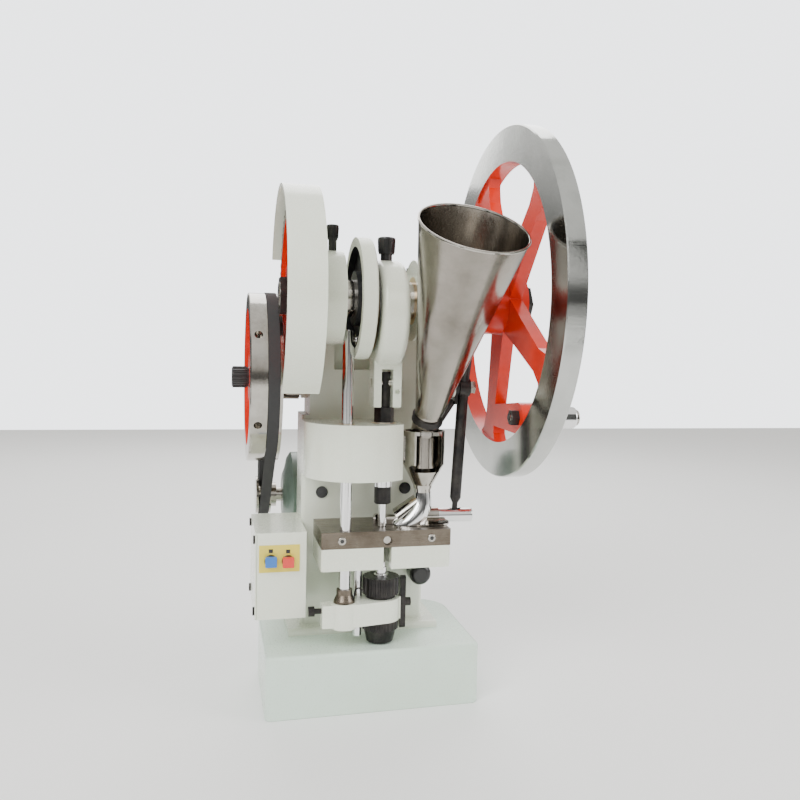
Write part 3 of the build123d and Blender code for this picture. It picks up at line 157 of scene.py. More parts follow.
def ring_group() -> bpy.types.NodeTree:
    """Node group that is 1 beyond a radius from an axis along X, and 0 inside it.

    Returns:
        A group that puts out the mask.
    """
    name = "beyond_radius"
    if name in bpy.data.node_groups:
        return bpy.data.node_groups[name]
    tree = bpy.data.node_groups.new(name, "ShaderNodeTree")
    add_socket(tree, "Centre", "Vector")
    add_socket(tree, "Radius", "Float")
    add_socket(tree, "Mask", "Float", out=True)
    new, link = tree.nodes.new, tree.links.new
    given, result = new("NodeGroupInput"), new("NodeGroupOutput")
    place, flat = new("ShaderNodeTexCoord"), new("ShaderNodeVectorMath")
    span, size = new("ShaderNodeVectorMath"), new("ShaderNodeVectorMath")
    flat.operation, span.operation, size.operation = "MULTIPLY", "SUBTRACT", "LENGTH"
    flat.inputs[1].default_value = (0.0, 1.0, 1.0)
    link(place.outputs["Object"], flat.inputs[0])
    link(flat.outputs[0], span.inputs[0])
    link(given.outputs["Centre"], span.inputs[1])
    link(span.outputs[0], size.inputs[0])
    beyond = new("ShaderNodeMath")
    beyond.operation = "GREATER_THAN"
    link(size.outputs["Value"], beyond.inputs[0])
    link(given.outputs["Radius"], beyond.inputs[1])
    link(beyond.outputs[0], result.inputs["Mask"])
    return tree


# ---------------------------------------------------------------- finishes
@dataclass(frozen=True)
class Finish:
    """One surface finish, with the way it has worn."""

    name: str
    clean: tuple[float, float, float]
    worn: tuple[float, float, float]
    metallic: float = 0.0
    roughness: tuple[float, float] = (0.3, 0.4)
    patch_scale: float = 18.0
    patch_amount: float = 0.5
    mark_scale: float = 300.0
    grain: Grain = Grain.EVEN
    bump: float = 0.05
    coat: float = 0.0

    def fill_group(self, material: bpy.types.Material) -> bpy.types.Node:
        """Puts the wear group, with this finish's values, into a material.

        Args:
            material: The material that takes the group.

        Returns:
            The group's node.
        """
        node = material.node_tree.nodes.new("ShaderNodeGroup")
        node.node_tree = wear_group()
        values = {
            "Clean": (*self.clean, 1.0), "Worn": (*self.worn, 1.0), "Stretch": self.grain.value,
            "Patch Scale": self.patch_scale, "Mark Scale": self.mark_scale,
            "Patch Amount": self.patch_amount, "Roughness Low": self.roughness[0],
            "Roughness High": self.roughness[1]}
        for label, value in values.items():
            node.inputs[label].default_value = value
        return node

    def material(self) -> bpy.types.Material:
        """Builds this finish's material once.

        Returns:
            The material, which is the same one each time.
        """
        if self.name in bpy.data.materials:
            return bpy.data.materials[self.name]
        material = bpy.data.materials.new(self.name)
        material.use_nodes = True
        shader = material.node_tree.nodes["Principled BSDF"]
        link = material.node_tree.links.new
        node = self.fill_group(material)
        link(node.outputs["Color"], shader.inputs["Base Color"])
        link(node.outputs["Roughness"], shader.inputs["Roughness"])
        shader.inputs["Metallic"].default_value = self.metallic
        shader.inputs["Coat Weight"].default_value = self.coat
        shader.inputs["Coat Roughness"].default_value = COAT_ROUGHNESS
        relief = material.node_tree.nodes.new("ShaderNodeBump")
        relief.inputs["Strength"].default_value = self.bump
        relief.inputs["Distance"].default_value = RELIEF_DEPTH
        link(node.outputs["Height"], relief.inputs["Height"])
        link(relief.outputs["Normal"], shader.inputs["Normal"])
        return material


@dataclass(frozen=True)
class RingedFinish:
    """A wheel's finish: one inside a radius, another beyond it."""

    name: str
    inside: Finish
    beyond: Finish
    centre: tuple[float, float]
    radius: float

    def material(self) -> bpy.types.Material:
        """Builds the two-zone material.

        Returns:
            The material.
        """
        material = bpy.data.materials.new(self.name)
        material.use_nodes = True
        nodes, link = material.node_tree.nodes, material.node_tree.links.new
        shader = nodes["Principled BSDF"]
        mask = nodes.new("ShaderNodeGroup")
        mask.node_tree = ring_group()
        mask.inputs["Centre"].default_value = (0.0, *self.centre)
        mask.inputs["Radius"].default_value = self.radius
        inner, outer = self.inside.fill_group(material), self.beyond.fill_group(material)
        color = nodes.new("ShaderNodeMix")
        color.data_type = "RGBA"
        link(mask.outputs["Mask"], color.inputs["Factor"])
        link(inner.outputs["Color"], color.inputs["A"])
        link(outer.outputs["Color"], color.inputs["B"])
        link(color.outputs["Result"], shader.inputs["Base Color"])
        rough = nodes.new("ShaderNodeMix")
        link(mask.outputs["Mask"], rough.inputs[0])
        link(inner.outputs["Roughness"], rough.inputs[2])
        link(outer.outputs["Roughness"], rough.inputs[3])
        link(rough.outputs[0], shader.inputs["Roughness"])
        metal = nodes.new("ShaderNodeMapRange")
        metal.inputs["To Min"].default_value = self.inside.metallic
        metal.inputs["To Max"].default_value = self.beyond.metallic
        link(mask.outputs["Mask"], metal.inputs["Value"])
        link(metal.outputs["Result"], shader.inputs["Metallic"])
        relief = nodes.new("ShaderNodeBump")
        relief.inputs["Strength"].default_value = self.inside.bump
        relief.inputs["Distance"].default_value = RELIEF_DEPTH
        link(inner.outputs["Height"], relief.inputs["Height"])
        link(relief.outputs["Normal"], shader.inputs["Normal"])
        return material


CREAM_ENAMEL = Finish(
    "cream_enamel", clean=(0.78, 0.82, 0.70), worn=(0.66, 0.64, 0.49), roughness=(0.2, 0.32),
    patch_scale=11.0, patch_amount=0.3, mark_scale=900.0, bump=0.08, coat=0.5)
BASE_ENAMEL = Finish(
    "base_enamel", clean=(0.66, 0.79, 0.69), worn=(0.56, 0.64, 0.50), roughness=(0.24, 0.38),
    patch_scale=8.0, patch_amount=0.4, mark_scale=500.0, bump=0.14, coat=0.4)
RED_ENAMEL = Finish(
    "red_enamel", clean=(0.66, 0.020, 0.002), worn=(0.34, 0.008, 0.002), roughness=(0.16, 0.26),
    patch_scale=22.0, patch_amount=0.55, coat=0.6)
GROUND_STEEL = Finish(
    "ground_steel", clean=(0.20, 0.17, 0.135), worn=(0.08, 0.062, 0.045), metallic=1.0,
    roughness=(0.2, 0.42), patch_scale=24.0, patch_amount=0.8, mark_scale=700.0,
    grain=Grain.ACROSS_X, bump=0.12)
WHEEL_STEEL = Finish(
    "wheel_steel", clean=(0.50, 0.51, 0.49), worn=(0.26, 0.27, 0.25), metallic=1.0,
    roughness=(0.07, 0.17), patch_scale=16.0, patch_amount=0.45, mark_scale=500.0,
    grain=Grain.ACROSS_X, bump=0.03)
BRIGHT_STEEL = Finish(
    "bright_steel", clean=(0.50, 0.48, 0.44), worn=(0.24, 0.21, 0.17), metallic=1.0,
    roughness=(0.08, 0.2), patch_scale=40.0, patch_amount=0.6, mark_scale=700.0, bump=0.04)
CHROME = Finish(
    "chrome", clean=(0.50, 0.50, 0.49), worn=(0.26, 0.25, 0.23), metallic=1.0,
    roughness=(0.05, 0.13), patch_scale=40.0, mark_scale=600.0, grain=Grain.ALONG_Z, bump=0.02)
HOPPER_STEEL = Finish(
    "hopper_steel", clean=(0.34, 0.315, 0.28), worn=(0.17, 0.15, 0.125), metallic=1.0,
    roughness=(0.13, 0.27), patch_scale=13.0, patch_amount=0.85, mark_scale=700.0,
    grain=Grain.ALONG_Z)
BLACK_OXIDE = Finish(
    "black_oxide", clean=(0.018, 0.017, 0.017), worn=(0.07, 0.062, 0.055), metallic=0.6,
    roughness=(0.26, 0.44), patch_scale=60.0, patch_amount=0.6, mark_scale=900.0, bump=0.1)
BRONZE = Finish(
    "bronze", clean=(0.50, 0.34, 0.16), worn=(0.30, 0.19, 0.09), metallic=1.0,
    roughness=(0.25, 0.4), patch_scale=60.0, mark_scale=800.0, bump=0.06)
BLACK_PLASTIC = Finish(
    "black_plastic", clean=(0.011, 0.011, 0.012), worn=(0.04, 0.04, 0.04),
    roughness=(0.14, 0.28), patch_scale=50.0, patch_amount=0.4, mark_scale=700.0, bump=0.04,
    coat=0.4)
RUBBER = Finish(
    "belt_rubber", clean=(0.016, 0.015, 0.015), worn=(0.055, 0.05, 0.045), roughness=(0.5, 0.7),
    patch_scale=60.0, patch_amount=0.6, mark_scale=1200.0, bump=0.3)
MOTOR_ENAMEL = Finish(
    "motor_enamel", clean=(0.13, 0.19, 0.15), worn=(0.07, 0.09, 0.075), roughness=(0.35, 0.5),
    patch_scale=30.0, patch_amount=0.6, mark_scale=900.0, bump=0.2, coat=0.2)
YELLOW_PLATE = Finish(
    "yellow_plate", clean=(0.90, 0.35, 0.0), worn=(0.74, 0.27, 0.0), roughness=(0.28, 0.4),
    patch_scale=60.0, patch_amount=0.4, mark_scale=800.0, bump=0.03, coat=0.2)
BLUE_PLASTIC = Finish(
    "blue_plastic", clean=(0.004, 0.13, 0.46), worn=(0.03, 0.2, 0.46), roughness=(0.18, 0.3),
    patch_scale=60.0, patch_amount=0.3, mark_scale=600.0, bump=0.03, coat=0.3)
RED_PLASTIC = Finish(
    "red_plastic", clean=(0.62, 0.02, 0.012), worn=(0.45, 0.02, 0.015), roughness=(0.18, 0.3),
    patch_scale=60.0, patch_amount=0.3, mark_scale=600.0, bump=0.03, coat=0.3)
# Near-black steel: painted shade on the dark hexagons in the table screws' sockets, and the dark face
# inside the ejection cam's rim.
PAINTED_SOCKET_SHADE_AND_DARK_STEEL = Finish(
    "painted_socket_shade_and_dark_steel", clean=(0.035, 0.037, 0.038), worn=(0.10, 0.10, 0.095), metallic=0.4,
    roughness=(0.3, 0.5), patch_scale=40.0, mark_scale=800.0)
AGED_ENAMEL = Finish(
    "aged_enamel", clean=(0.78, 0.66, 0.40), worn=(0.84, 0.82, 0.70), roughness=(0.3, 0.45),
    patch_scale=60.0, patch_amount=0.8, mark_scale=800.0)
FLOOR = Finish(
    "pale_floor", clean=(0.90, 0.90, 0.89), worn=(0.88, 0.88, 0.87), roughness=(0.55, 0.65),
    patch_scale=3.0, patch_amount=0.3, mark_scale=60.0, bump=0.0)
FLAG_CLOTH = Finish(
    "flag_cloth", clean=(0.03, 0.032, 0.03), worn=(0.05, 0.05, 0.045), roughness=(0.8, 0.9),
    patch_scale=3.0, mark_scale=60.0)

FLYWHEEL = RingedFinish("flywheel_finish", RED_ENAMEL, WHEEL_STEEL, (0.0, SHAFT_HEIGHT), 0.1553)
PULLEY = RingedFinish("pulley_finish", RED_ENAMEL, BRIGHT_STEEL, PINION_CENTRE, 0.0781)
GEAR = RingedFinish("gear_finish", RED_ENAMEL, GROUND_STEEL, (0.0, SHAFT_HEIGHT), 0.0881)
EJECTION_CAM = RingedFinish("ejection_cam_finish", PAINTED_SOCKET_SHADE_AND_DARK_STEEL, CREAM_ENAMEL,
                            (0.0, SHAFT_HEIGHT), 0.0552)

NODE_FINISHES: dict[str, Finish | RingedFinish] = {
    "base": BASE_ENAMEL, "column": CREAM_ENAMEL, "upper_head": CREAM_ENAMEL,
    "strap": CREAM_ENAMEL, "gear_guard": CREAM_ENAMEL, "lifting_bracket": CREAM_ENAMEL,
    "motor_mount": CREAM_ENAMEL, "lever_bracket": CREAM_ENAMEL, "control_box": CREAM_ENAMEL,
    "box_cover": CREAM_ENAMEL, "flywheel": FLYWHEEL, "belt_pulley": PULLEY, "big_gear": GEAR,
    "ejection_cam": EJECTION_CAM, "table_plate": GROUND_STEEL, "die": GROUND_STEEL,
    "main_shaft": BRIGHT_STEEL, "feed_cam": GROUND_STEEL, "pinion_shaft": GROUND_STEEL,
    "cam_roller": BRIGHT_STEEL, "lever_roller": BRIGHT_STEEL, "wrist_pin": BRIGHT_STEEL,
    "lever_bolt": BRIGHT_STEEL, "rod_collar": GROUND_STEEL, "handle_pin": BRIGHT_STEEL,
    "left_oil_cup": BLACK_PLASTIC, "strap_oil_cup": BLACK_PLASTIC, "motor_pulley": BRIGHT_STEEL,
    "handle_sleeve": CHROME, "ram": CHROME, "upper_punch": CHROME, "lift_rod": CHROME,
    "lower_punch": CHROME, "guide_post": CHROME, "upper_adjust_gear": BLACK_OXIDE,
    "lower_adjust_gear": BLACK_OXIDE, "feed_lever": BLACK_OXIDE, "feed_arm": CHROME,
    "feed_shoe": BRIGHT_STEEL, "feed_cup": BRIGHT_STEEL, "hopper": HOPPER_STEEL,
    "bushes": BRONZE, "eccentric_sleeve": BRONZE, "v_belt": RUBBER, "label_plate": YELLOW_PLATE,
    "blue_button": BLUE_PLASTIC, "red_button": RED_PLASTIC, "motor_body": MOTOR_ENAMEL,
    "pulley_knob": BLACK_PLASTIC, "side_knob": BLACK_PLASTIC, "column_plugs": BLACK_PLASTIC,
    "cable_gland": BLACK_PLASTIC, "table_screws": BRIGHT_STEEL, "shaft_nuts": BLACK_OXIDE,
    "ram_stud": BLACK_OXIDE, "ram_nuts": BLACK_OXIDE, "clamp_screws": BLACK_OXIDE,
    "gear_lock_bar": BLACK_OXIDE, "hopper_bracket": BLACK_OXIDE, "machine_screws": BLACK_OXIDE,
}


# ---------------------------------------------------------------- mesh making
def finished(name: str, mesh: bpy.types.Mesh, finish: Finish,
             smooth_angle: float = 32.0) -> bpy.types.Object:
    """Makes a piece from a mesh, with its finish and smooth shading up to an angle.

    Args:
        name: The piece's name.
        mesh: Its mesh, already in place.
        finish: Its finish.
        smooth_angle: Degrees up to which an edge is shaded smooth.

    Returns:
        The piece, linked to the scene.
    """
    piece = bpy.data.objects.new(name, mesh)
    bpy.context.scene.collection.objects.link(piece)
    mesh.materials.clear()
    mesh.materials.append(finish.material())
    mesh.shade_smooth()
    mesh.set_sharp_from_angle(angle=math.radians(smooth_angle))
    return piece


def mesh_from(name: str, shape: bmesh.types.BMesh) -> bpy.types.Mesh:
    """Welds a shape and turns its faces outwards.

    Args:
        name: The mesh's name.
        shape: The shape, which is freed.

    Returns:
        The mesh.
    """
    bmesh.ops.remove_doubles(shape, verts=shape.verts, dist=1e-6)
    bmesh.ops.recalc_face_normals(shape, faces=shape.faces)
    mesh = bpy.data.meshes.new(name)
    shape.to_mesh(mesh)
    shape.free()
    return mesh


def turned(name: str, profile: Sequence[tuple[float, float]], centre: Sequence[float],
           turning: Turning, steps: int = 64) -> bpy.types.Mesh:
    """Turns a closed profile about an axis.

    Args:
        name: The mesh's name.
        profile: Points as (distance along the axis, radius), in order round the section.
        centre: A point on the axis.
        turning: The axis's direction.
        steps: How many sides the turned shape has.

    Returns:
        The mesh, in place.
    """
    shape = bmesh.new()
    rings = []
    for step in range(steps):
        angle = math.tau * step / steps
        across, up = math.cos(angle), math.sin(angle)
        ring = []
        for along, radius in profile:
            offset = {Turning.ALONG_X: (along, radius * across, radius * up),
                      Turning.ALONG_Y: (radius * across, along, radius * up),
                      Turning.ALONG_Z: (radius * across, radius * up, along)}[turning]
            ring.append(shape.verts.new(Vector(centre) + Vector(offset)))
        rings.append(ring)
    count = len(profile)
    for step in range(steps):
        here, there = rings[step], rings[(step + 1) % steps]
        for i in range(count):
            j = (i + 1) % count
            if profile[i][1] < 1e-9 and profile[j][1] < 1e-9:
                continue
            shape.faces.new((here[i], here[j], there[j], there[i]))
    return mesh_from(name, shape)


def rounded_block(name: str, low: Sequence[float], high: Sequence[float], radius: float,
                  segments: int = 4) -> bpy.types.Mesh:
    """Block between two corners, with rounded edges.

    Args:
        name: The mesh's name.
        low: The corner with the least X, Y and Z.
        high: The corner with the greatest.
        radius: The edges' radius.
        segments: How many facets round an edge.

    Returns:
        The mesh, in place.
    """
    shape = bmesh.new()
    bmesh.ops.create_cube(shape, size=1.0)
    size = Vector(high) - Vector(low)
    place = Matrix.Translation((Vector(high) + Vector(low)) / 2) @ Matrix.Diagonal((*size, 1.0))
    bmesh.ops.transform(shape, matrix=place, verts=shape.verts)
    bmesh.ops.bevel(shape, geom=shape.edges, offset=radius, segments=segments, profile=0.5,
                    affect="EDGES")
    return mesh_from(name, shape)


def final_mesh(holder: bpy.types.Object) -> bpy.types.Mesh:
    """Takes an object's mesh as its modifiers or bevel leave it, and removes the object.

    Args:
        holder: The object.

    Returns:
        The plain mesh.
    """
    graph = bpy.context.evaluated_depsgraph_get()
    mesh = bpy.data.meshes.new_from_object(holder.evaluated_get(graph))
    bpy.data.objects.remove(holder)
    return mesh


def wire_mesh(name: str, points: Iterable[Sequence[float]], radius: float) -> bpy.types.Mesh:
    """Round wire along a smooth curve.

    Args:
        name: The mesh's name.
        points: The curve's control points.
        radius: The wire's radius.

    Returns:
        The mesh, in place.
    """
    curve = bpy.data.curves.new(name, "CURVE")
    curve.dimensions = "3D"
    curve.bevel_depth = radius
    curve.bevel_resolution = 5
    curve.use_fill_caps = True
    spline = curve.splines.new("NURBS")
    points = list(points)
    spline.points.add(len(points) - 1)
    for point, place in zip(spline.points, points):
        point.co = (*place, 1.0)
    spline.order_u = 3
    spline.use_endpoint_u = True
    holder = bpy.data.objects.new(name, curve)
    bpy.context.scene.collection.objects.link(holder)
    return final_mesh(holder)


def repeat_tree(name: str, finish: Finish, pattern: Repeat) -> bpy.types.NodeTree:
    """Geometry Nodes tree that repeats its input mesh, in a line along X or round an axis along X.

    Args:
        name: The tree's name.
        finish: Finish that the result takes.
        pattern: Whether the copies stand in a line or round an axis.

    Returns:
        The tree, with named inputs for the count, the step and the centre.
    """
    tree = bpy.data.node_groups.new(name, "GeometryNodeTree")
    add_socket(tree, "Geometry", "Geometry")
    for label, kind in (("Count", "Int"), ("Step", "Float"), ("Centre", "Vector")):
        add_socket(tree, label, kind)
    add_socket(tree, "Geometry", "Geometry", out=True)
    new, link = tree.nodes.new, tree.links.new
    given, result = new("NodeGroupInput"), new("NodeGroupOutput")
    points, index = new("GeometryNodePoints"), new("GeometryNodeInputIndex")
    scale = new("ShaderNodeMath")
    scale.operation = "MULTIPLY"
    link(given.outputs["Count"], points.inputs["Count"])
    link(index.outputs[0], scale.inputs[0])
    link(given.outputs["Step"], scale.inputs[1])
    along = new("ShaderNodeCombineXYZ")
    link(scale.outputs[0], along.inputs["X"])
    copies = new("GeometryNodeInstanceOnPoints")
    link(points.outputs[0], copies.inputs["Points"])
    link(given.outputs["Geometry"], copies.inputs["Instance"])
    realize, paint = new("GeometryNodeRealizeInstances"), new("GeometryNodeSetMaterial")
    paint.inputs["Material"].default_value = finish.material()
    shift = new("GeometryNodeTranslateInstances")
    if pattern is Repeat.LINE:
        link(copies.outputs[0], shift.inputs["Instances"])
        link(along.outputs[0], shift.inputs["Translation"])
    else:
        turn = new("GeometryNodeRotateInstances")
        turn.inputs["Local Space"].default_value = False
        link(copies.outputs[0], turn.inputs["Instances"])
        link(along.outputs[0], turn.inputs["Rotation"])
        link(turn.outputs[0], shift.inputs["Instances"])
        link(given.outputs["Centre"], shift.inputs["Translation"])
    shift.inputs["Local Space"].default_value = False
    link(shift.outputs[0], realize.inputs[0])
    link(realize.outputs[0], paint.inputs["Geometry"])
    link(paint.outputs[0], result.inputs["Geometry"])
    return tree


def repeated(name: str, mesh: bpy.types.Mesh, finish: Finish, pattern: Repeat, count: int,
             step: float, centre: Sequence[float] = (0.0, 0.0, 0.0)) -> bpy.types.Object:
    """Repeats a mesh with Geometry Nodes and returns the result as a plain piece.

    Args:
        name: The piece's name.
        mesh: The mesh that is repeated.
        finish: The finish of every copy.
        pattern: In a line along X, or round an axis along X.
        count: How many copies there are.
        step: Metres, or radians, from one copy to the next.
        centre: Centre of a round pattern.

    Returns:
        The finished piece, with no modifier left on it.
    """
    holder = bpy.data.objects.new(f"{name}_source", mesh)
    bpy.context.scene.collection.objects.link(holder)
    tree = repeat_tree(f"{name}_layout", finish, pattern)
    modifier = holder.modifiers.new("layout", "NODES")
    modifier.node_group = tree
    values = {"Count": count, "Step": step, "Centre": centre}
    for item in tree.interface.items_tree:
        if item.in_out == "INPUT" and item.name in values:
            modifier[item.identifier] = values[item.name]
    bpy.context.view_layer.update()
    return finished(name, final_mesh(holder), finish)


def settle(piece: bpy.types.Object, body: str, slot: str, *nodes: str) -> None:
    """Says what a piece rides on and which CAD nodes it stands for.

    Args:
        piece: The piece.
        body: The body that carries it.
        slot: Not used.
        nodes: The CAD nodes it replaces, if any.
    """
    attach(piece, body)
    if nodes:
        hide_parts(*nodes)
    LOG.info("piece %s rides on %s", piece.name, body)


# ---------------------------------------------------------------- sub-assemblies
@dataclass
class CarriedNodes:
    """The CAD nodes that keep their own shape."""

    nodes: dict[str, bpy.types.Object]
    finishes: dict[str, Finish | RingedFinish] = field(default_factory=lambda: dict(NODE_FINISHES))

    def dress(self) -> None:
        """Gives every CAD node its finish."""
        made: dict[str, bpy.types.Material] = {}
        for name, piece in self.nodes.items():
            finish = self.finishes[name]
            if finish.name not in made:
                made[finish.name] = finish.material()
            for slot in piece.material_slots:
                slot.material = made[finish.name]
            LOG.info("node %s wears %s", name, finish.name)


@dataclass
class Motor:
    """Finned motor behind the column."""

    left: float = -0.086
    right: float = 0.062
    shell: float = 0.049
    fin: float = 0.0538
    fin_width: float = 0.0018
    fin_pitch: float = 0.0062
    fins: int = 14

    def build(self) -> None:
        """Makes the shell, its fins and its terminal cover."""
        centre = (0.0, *MOTOR_CENTRE)
        hole, bell = 0.0092, 0.0535
        left, right = self.left, self.right
        profile = [
            (left, hole), (left, 0.026), (left + 0.003, 0.034), (left + 0.006, 0.047),
            (left + 0.010, bell), (left + 0.024, bell), (left + 0.026, self.shell),
            (right - 0.030, self.shell), (right - 0.028, bell), (right - 0.010, bell),
            (right - 0.005, 0.049), (right - 0.001, 0.040), (right, 0.030), (right, 0.0),
            (right - 0.02, 0.0), (left + 0.05, hole)]
        casing = turned("motor_shell", profile, centre, Turning.ALONG_X, 96)
        shell = finished("motor_shell", casing, MOTOR_ENAMEL)
        settle(shell, "frame", "grey_green_enamel", "motor_body")
        start, root = left + 0.028, self.shell - 0.001
        end = start + self.fin_width
        section = [(start, root), (start, self.fin), (end, self.fin), (end, root)]
        ring = turned("motor_fin", section, centre, Turning.ALONG_X, 72)
        block = rounded_block("motor_terminal_cover", (left + 0.030, 0.140, 0.2535),
                              (left + 0.072, 0.192, 0.2725), 0.003)
        cover = finished("motor_terminal_cover", block, MOTOR_ENAMEL)
        settle(cover, "frame", "grey_green_enamel")
        fins = repeated("motor_fins", ring, MOTOR_ENAMEL, Repeat.LINE, self.fins,
                        self.fin_pitch)
        settle(fins, "frame", "grey_green_enamel")


@dataclass
class FeedChute:
    """Polished skirt of the feed shoe, spread from its stem down to the table."""

    pivot: tuple[float, float] = (0.056, 0.004)
    heading: float = math.radians(160.9)
    floor: float = 0.1979
    steps: int = 40

    def ring(self, shape: bmesh.types.BMesh, height: float, reach: float, long: float,
             wide: float) -> list[bmesh.types.BMVert]:
        """Makes one oval section of the skirt.

        Args:
            shape: The mesh that it goes into.
            height: Its height above the table.
            reach: How far its middle lies from the pivot, towards the die.
            long: Half its length towards the die.
            wide: Half its width.

        Returns:
            The section's vertices, in order.
        """
        ahead = Vector((math.cos(self.heading), math.sin(self.heading), 0.0))
        across = Vector((-ahead.y, ahead.x, 0.0))
        middle = Vector((*self.pivot, self.floor + height)) + ahead * reach
        made = []
        for step in range(self.steps):
            angle = math.tau * step / self.steps
            along, side = math.cos(angle), math.sin(angle)
            made.append(shape.verts.new(middle + ahead * long * along + across * wide * side))
        return made

    def build(self) -> None:
        """Makes the skirt as a closed shell with a wall, and rides it on the shoe."""
        sections = ((0.0000, 0.0145, 0.0215, 0.0165), (0.0030, 0.0135, 0.0210, 0.0163),
                    (0.0070, 0.0105, 0.0190, 0.0156), (0.0120, 0.0070, 0.0165, 0.0145),
                    (0.0180, 0.0036, 0.0140, 0.0128), (0.0240, 0.0014, 0.0118, 0.0112),
                    (0.0300, 0.0002, 0.0102, 0.0101), (0.0360, 0.0, 0.0096, 0.0096))
        wall = 0.0006
        shape = bmesh.new()
        outer = [self.ring(shape, *section) for section in sections]
        inner = [self.ring(shape, height, reach, long - wall, wide - wall)
                 for height, reach, long, wide in sections]
        loops = outer + inner[::-1]
        for low, high in zip(loops, loops[1:] + loops[:1]):
            for i in range(self.steps):
                j = (i + 1) % self.steps
                shape.faces.new((low[i], low[j], high[j], high[i]))
        skirt = finished("feed_chute_skirt", mesh_from("feed_chute_skirt", shape), CHROME)
        settle(skirt, "feed_shoe", "chrome")


@dataclass
class HopperTrim:
    """Rolled rim of the conical hopper."""

    neck: Vector = Vector((0.0573, -0.006, 0.3177))
    lean: Vector = Vector((0.051, -0.522, 0.8514))
    length: float = 0.2280
    rim_radius: float = 0.0547
    bead_radius: float = 0.0013

    def build(self) -> None:
        """Makes the rim bead."""
        axis = self.lean.normalized()
        top = self.neck + axis * (self.length - 0.0016)
        side = Vector((1.0, 0.0, 0.0)).cross(axis).normalized()
        across = axis.cross(side).normalized()
        shape = bmesh.new()
        around, bead = 96, 10
        rings = []
        for i in range(around):
            angle = math.tau * i / around
            out = across * math.cos(angle) + side * math.sin(angle)
            ring = []
            for j in range(bead):
                turn = math.tau * j / bead
                reach = self.rim_radius + self.bead_radius * math.cos(turn)
                rise = self.bead_radius * math.sin(turn)
                ring.append(shape.verts.new(top + out * reach + axis * rise))
            rings.append(ring)
        for i in range(around):
            for j in range(bead):
                k, m = (i + 1) % around, (j + 1) % bead
                shape.faces.new((rings[i][j], rings[i][m], rings[k][m], rings[k][j]))
        rim = finished("hopper_rim", mesh_from("hopper_rim", shape), BRIGHT_STEEL)
        settle(rim, "frame", "stainless")


@dataclass
class WheelTrim:
    """Bolts on the flywheel's hub and the ridges of the pulley's knob."""

    hub_bolts: int = 5
    ridges: int = 24

    def build(self) -> None:
        """Makes the hub bolts and the knob's ridges."""
        hexagon = [(0.1620, 0.0), (0.1620, 0.0040), (0.1648, 0.0040), (0.1652, 0.0034),
                   (0.1652, 0.0)]
        head = turned("hub_bolt", hexagon, (0.0, 0.0265, 0.0), Turning.ALONG_X, 6)
        bolts = repeated("hub_bolts", head, BLACK_OXIDE, Repeat.ROUND, self.hub_bolts,
                         math.tau / self.hub_bolts, (0.0, 0.0, SHAFT_HEIGHT))
        settle(bolts, "main_shaft", "dark_steel")
        rod = [(-0.1500, 0.0), (-0.1500, 0.0008), (-0.1345, 0.0008), (-0.1345, 0.0)]
        ridge = turned("knob_ridge", rod, (0.0, 0.0115, 0.0), Turning.ALONG_X, 8)
        ridges = repeated("knob_ridges", ridge, BLACK_PLASTIC, Repeat.ROUND, self.ridges,
                          math.tau / self.ridges, (0.0, *PINION_CENTRE))
        settle(ridges, "pinion", "black_plastic")


@dataclass
class ControlPanel:
    """Symbols and bezels round the two push buttons."""

    front: float = -0.0108
    buttons: tuple[tuple[str, float, float], ...] = (
        ("blue", -0.1114, 0.1664), ("red", -0.0934, 0.1654))

    def build(self) -> None:
        """Makes a bezel round each button and a plain mark above it."""
        for name, x, z in self.buttons:
            profile = [(0.0, 0.0048), (0.0, 0.0066), (-0.0009, 0.0063), (-0.0012, 0.0058),
                       (-0.0012, 0.0048)]
            ring = turned(f"{name}_bezel", profile, (x, self.front, z), Turning.ALONG_Y, 40)
            bezel = finished(f"{name}_bezel", ring, BLACK_PLASTIC)
            settle(bezel, "frame", "black_plastic")
            low = (x - 0.0022, self.front - 0.0003, z + 0.0085)
            high = (x + 0.0022, self.front + 0.0002, z + 0.0125)
            block = rounded_block(f"{name}_mark", low, high, 0.0001, 1)
            mark = finished(f"{name}_mark", block, BLACK_PLASTIC)
            settle(mark, "frame", "black_plastic")


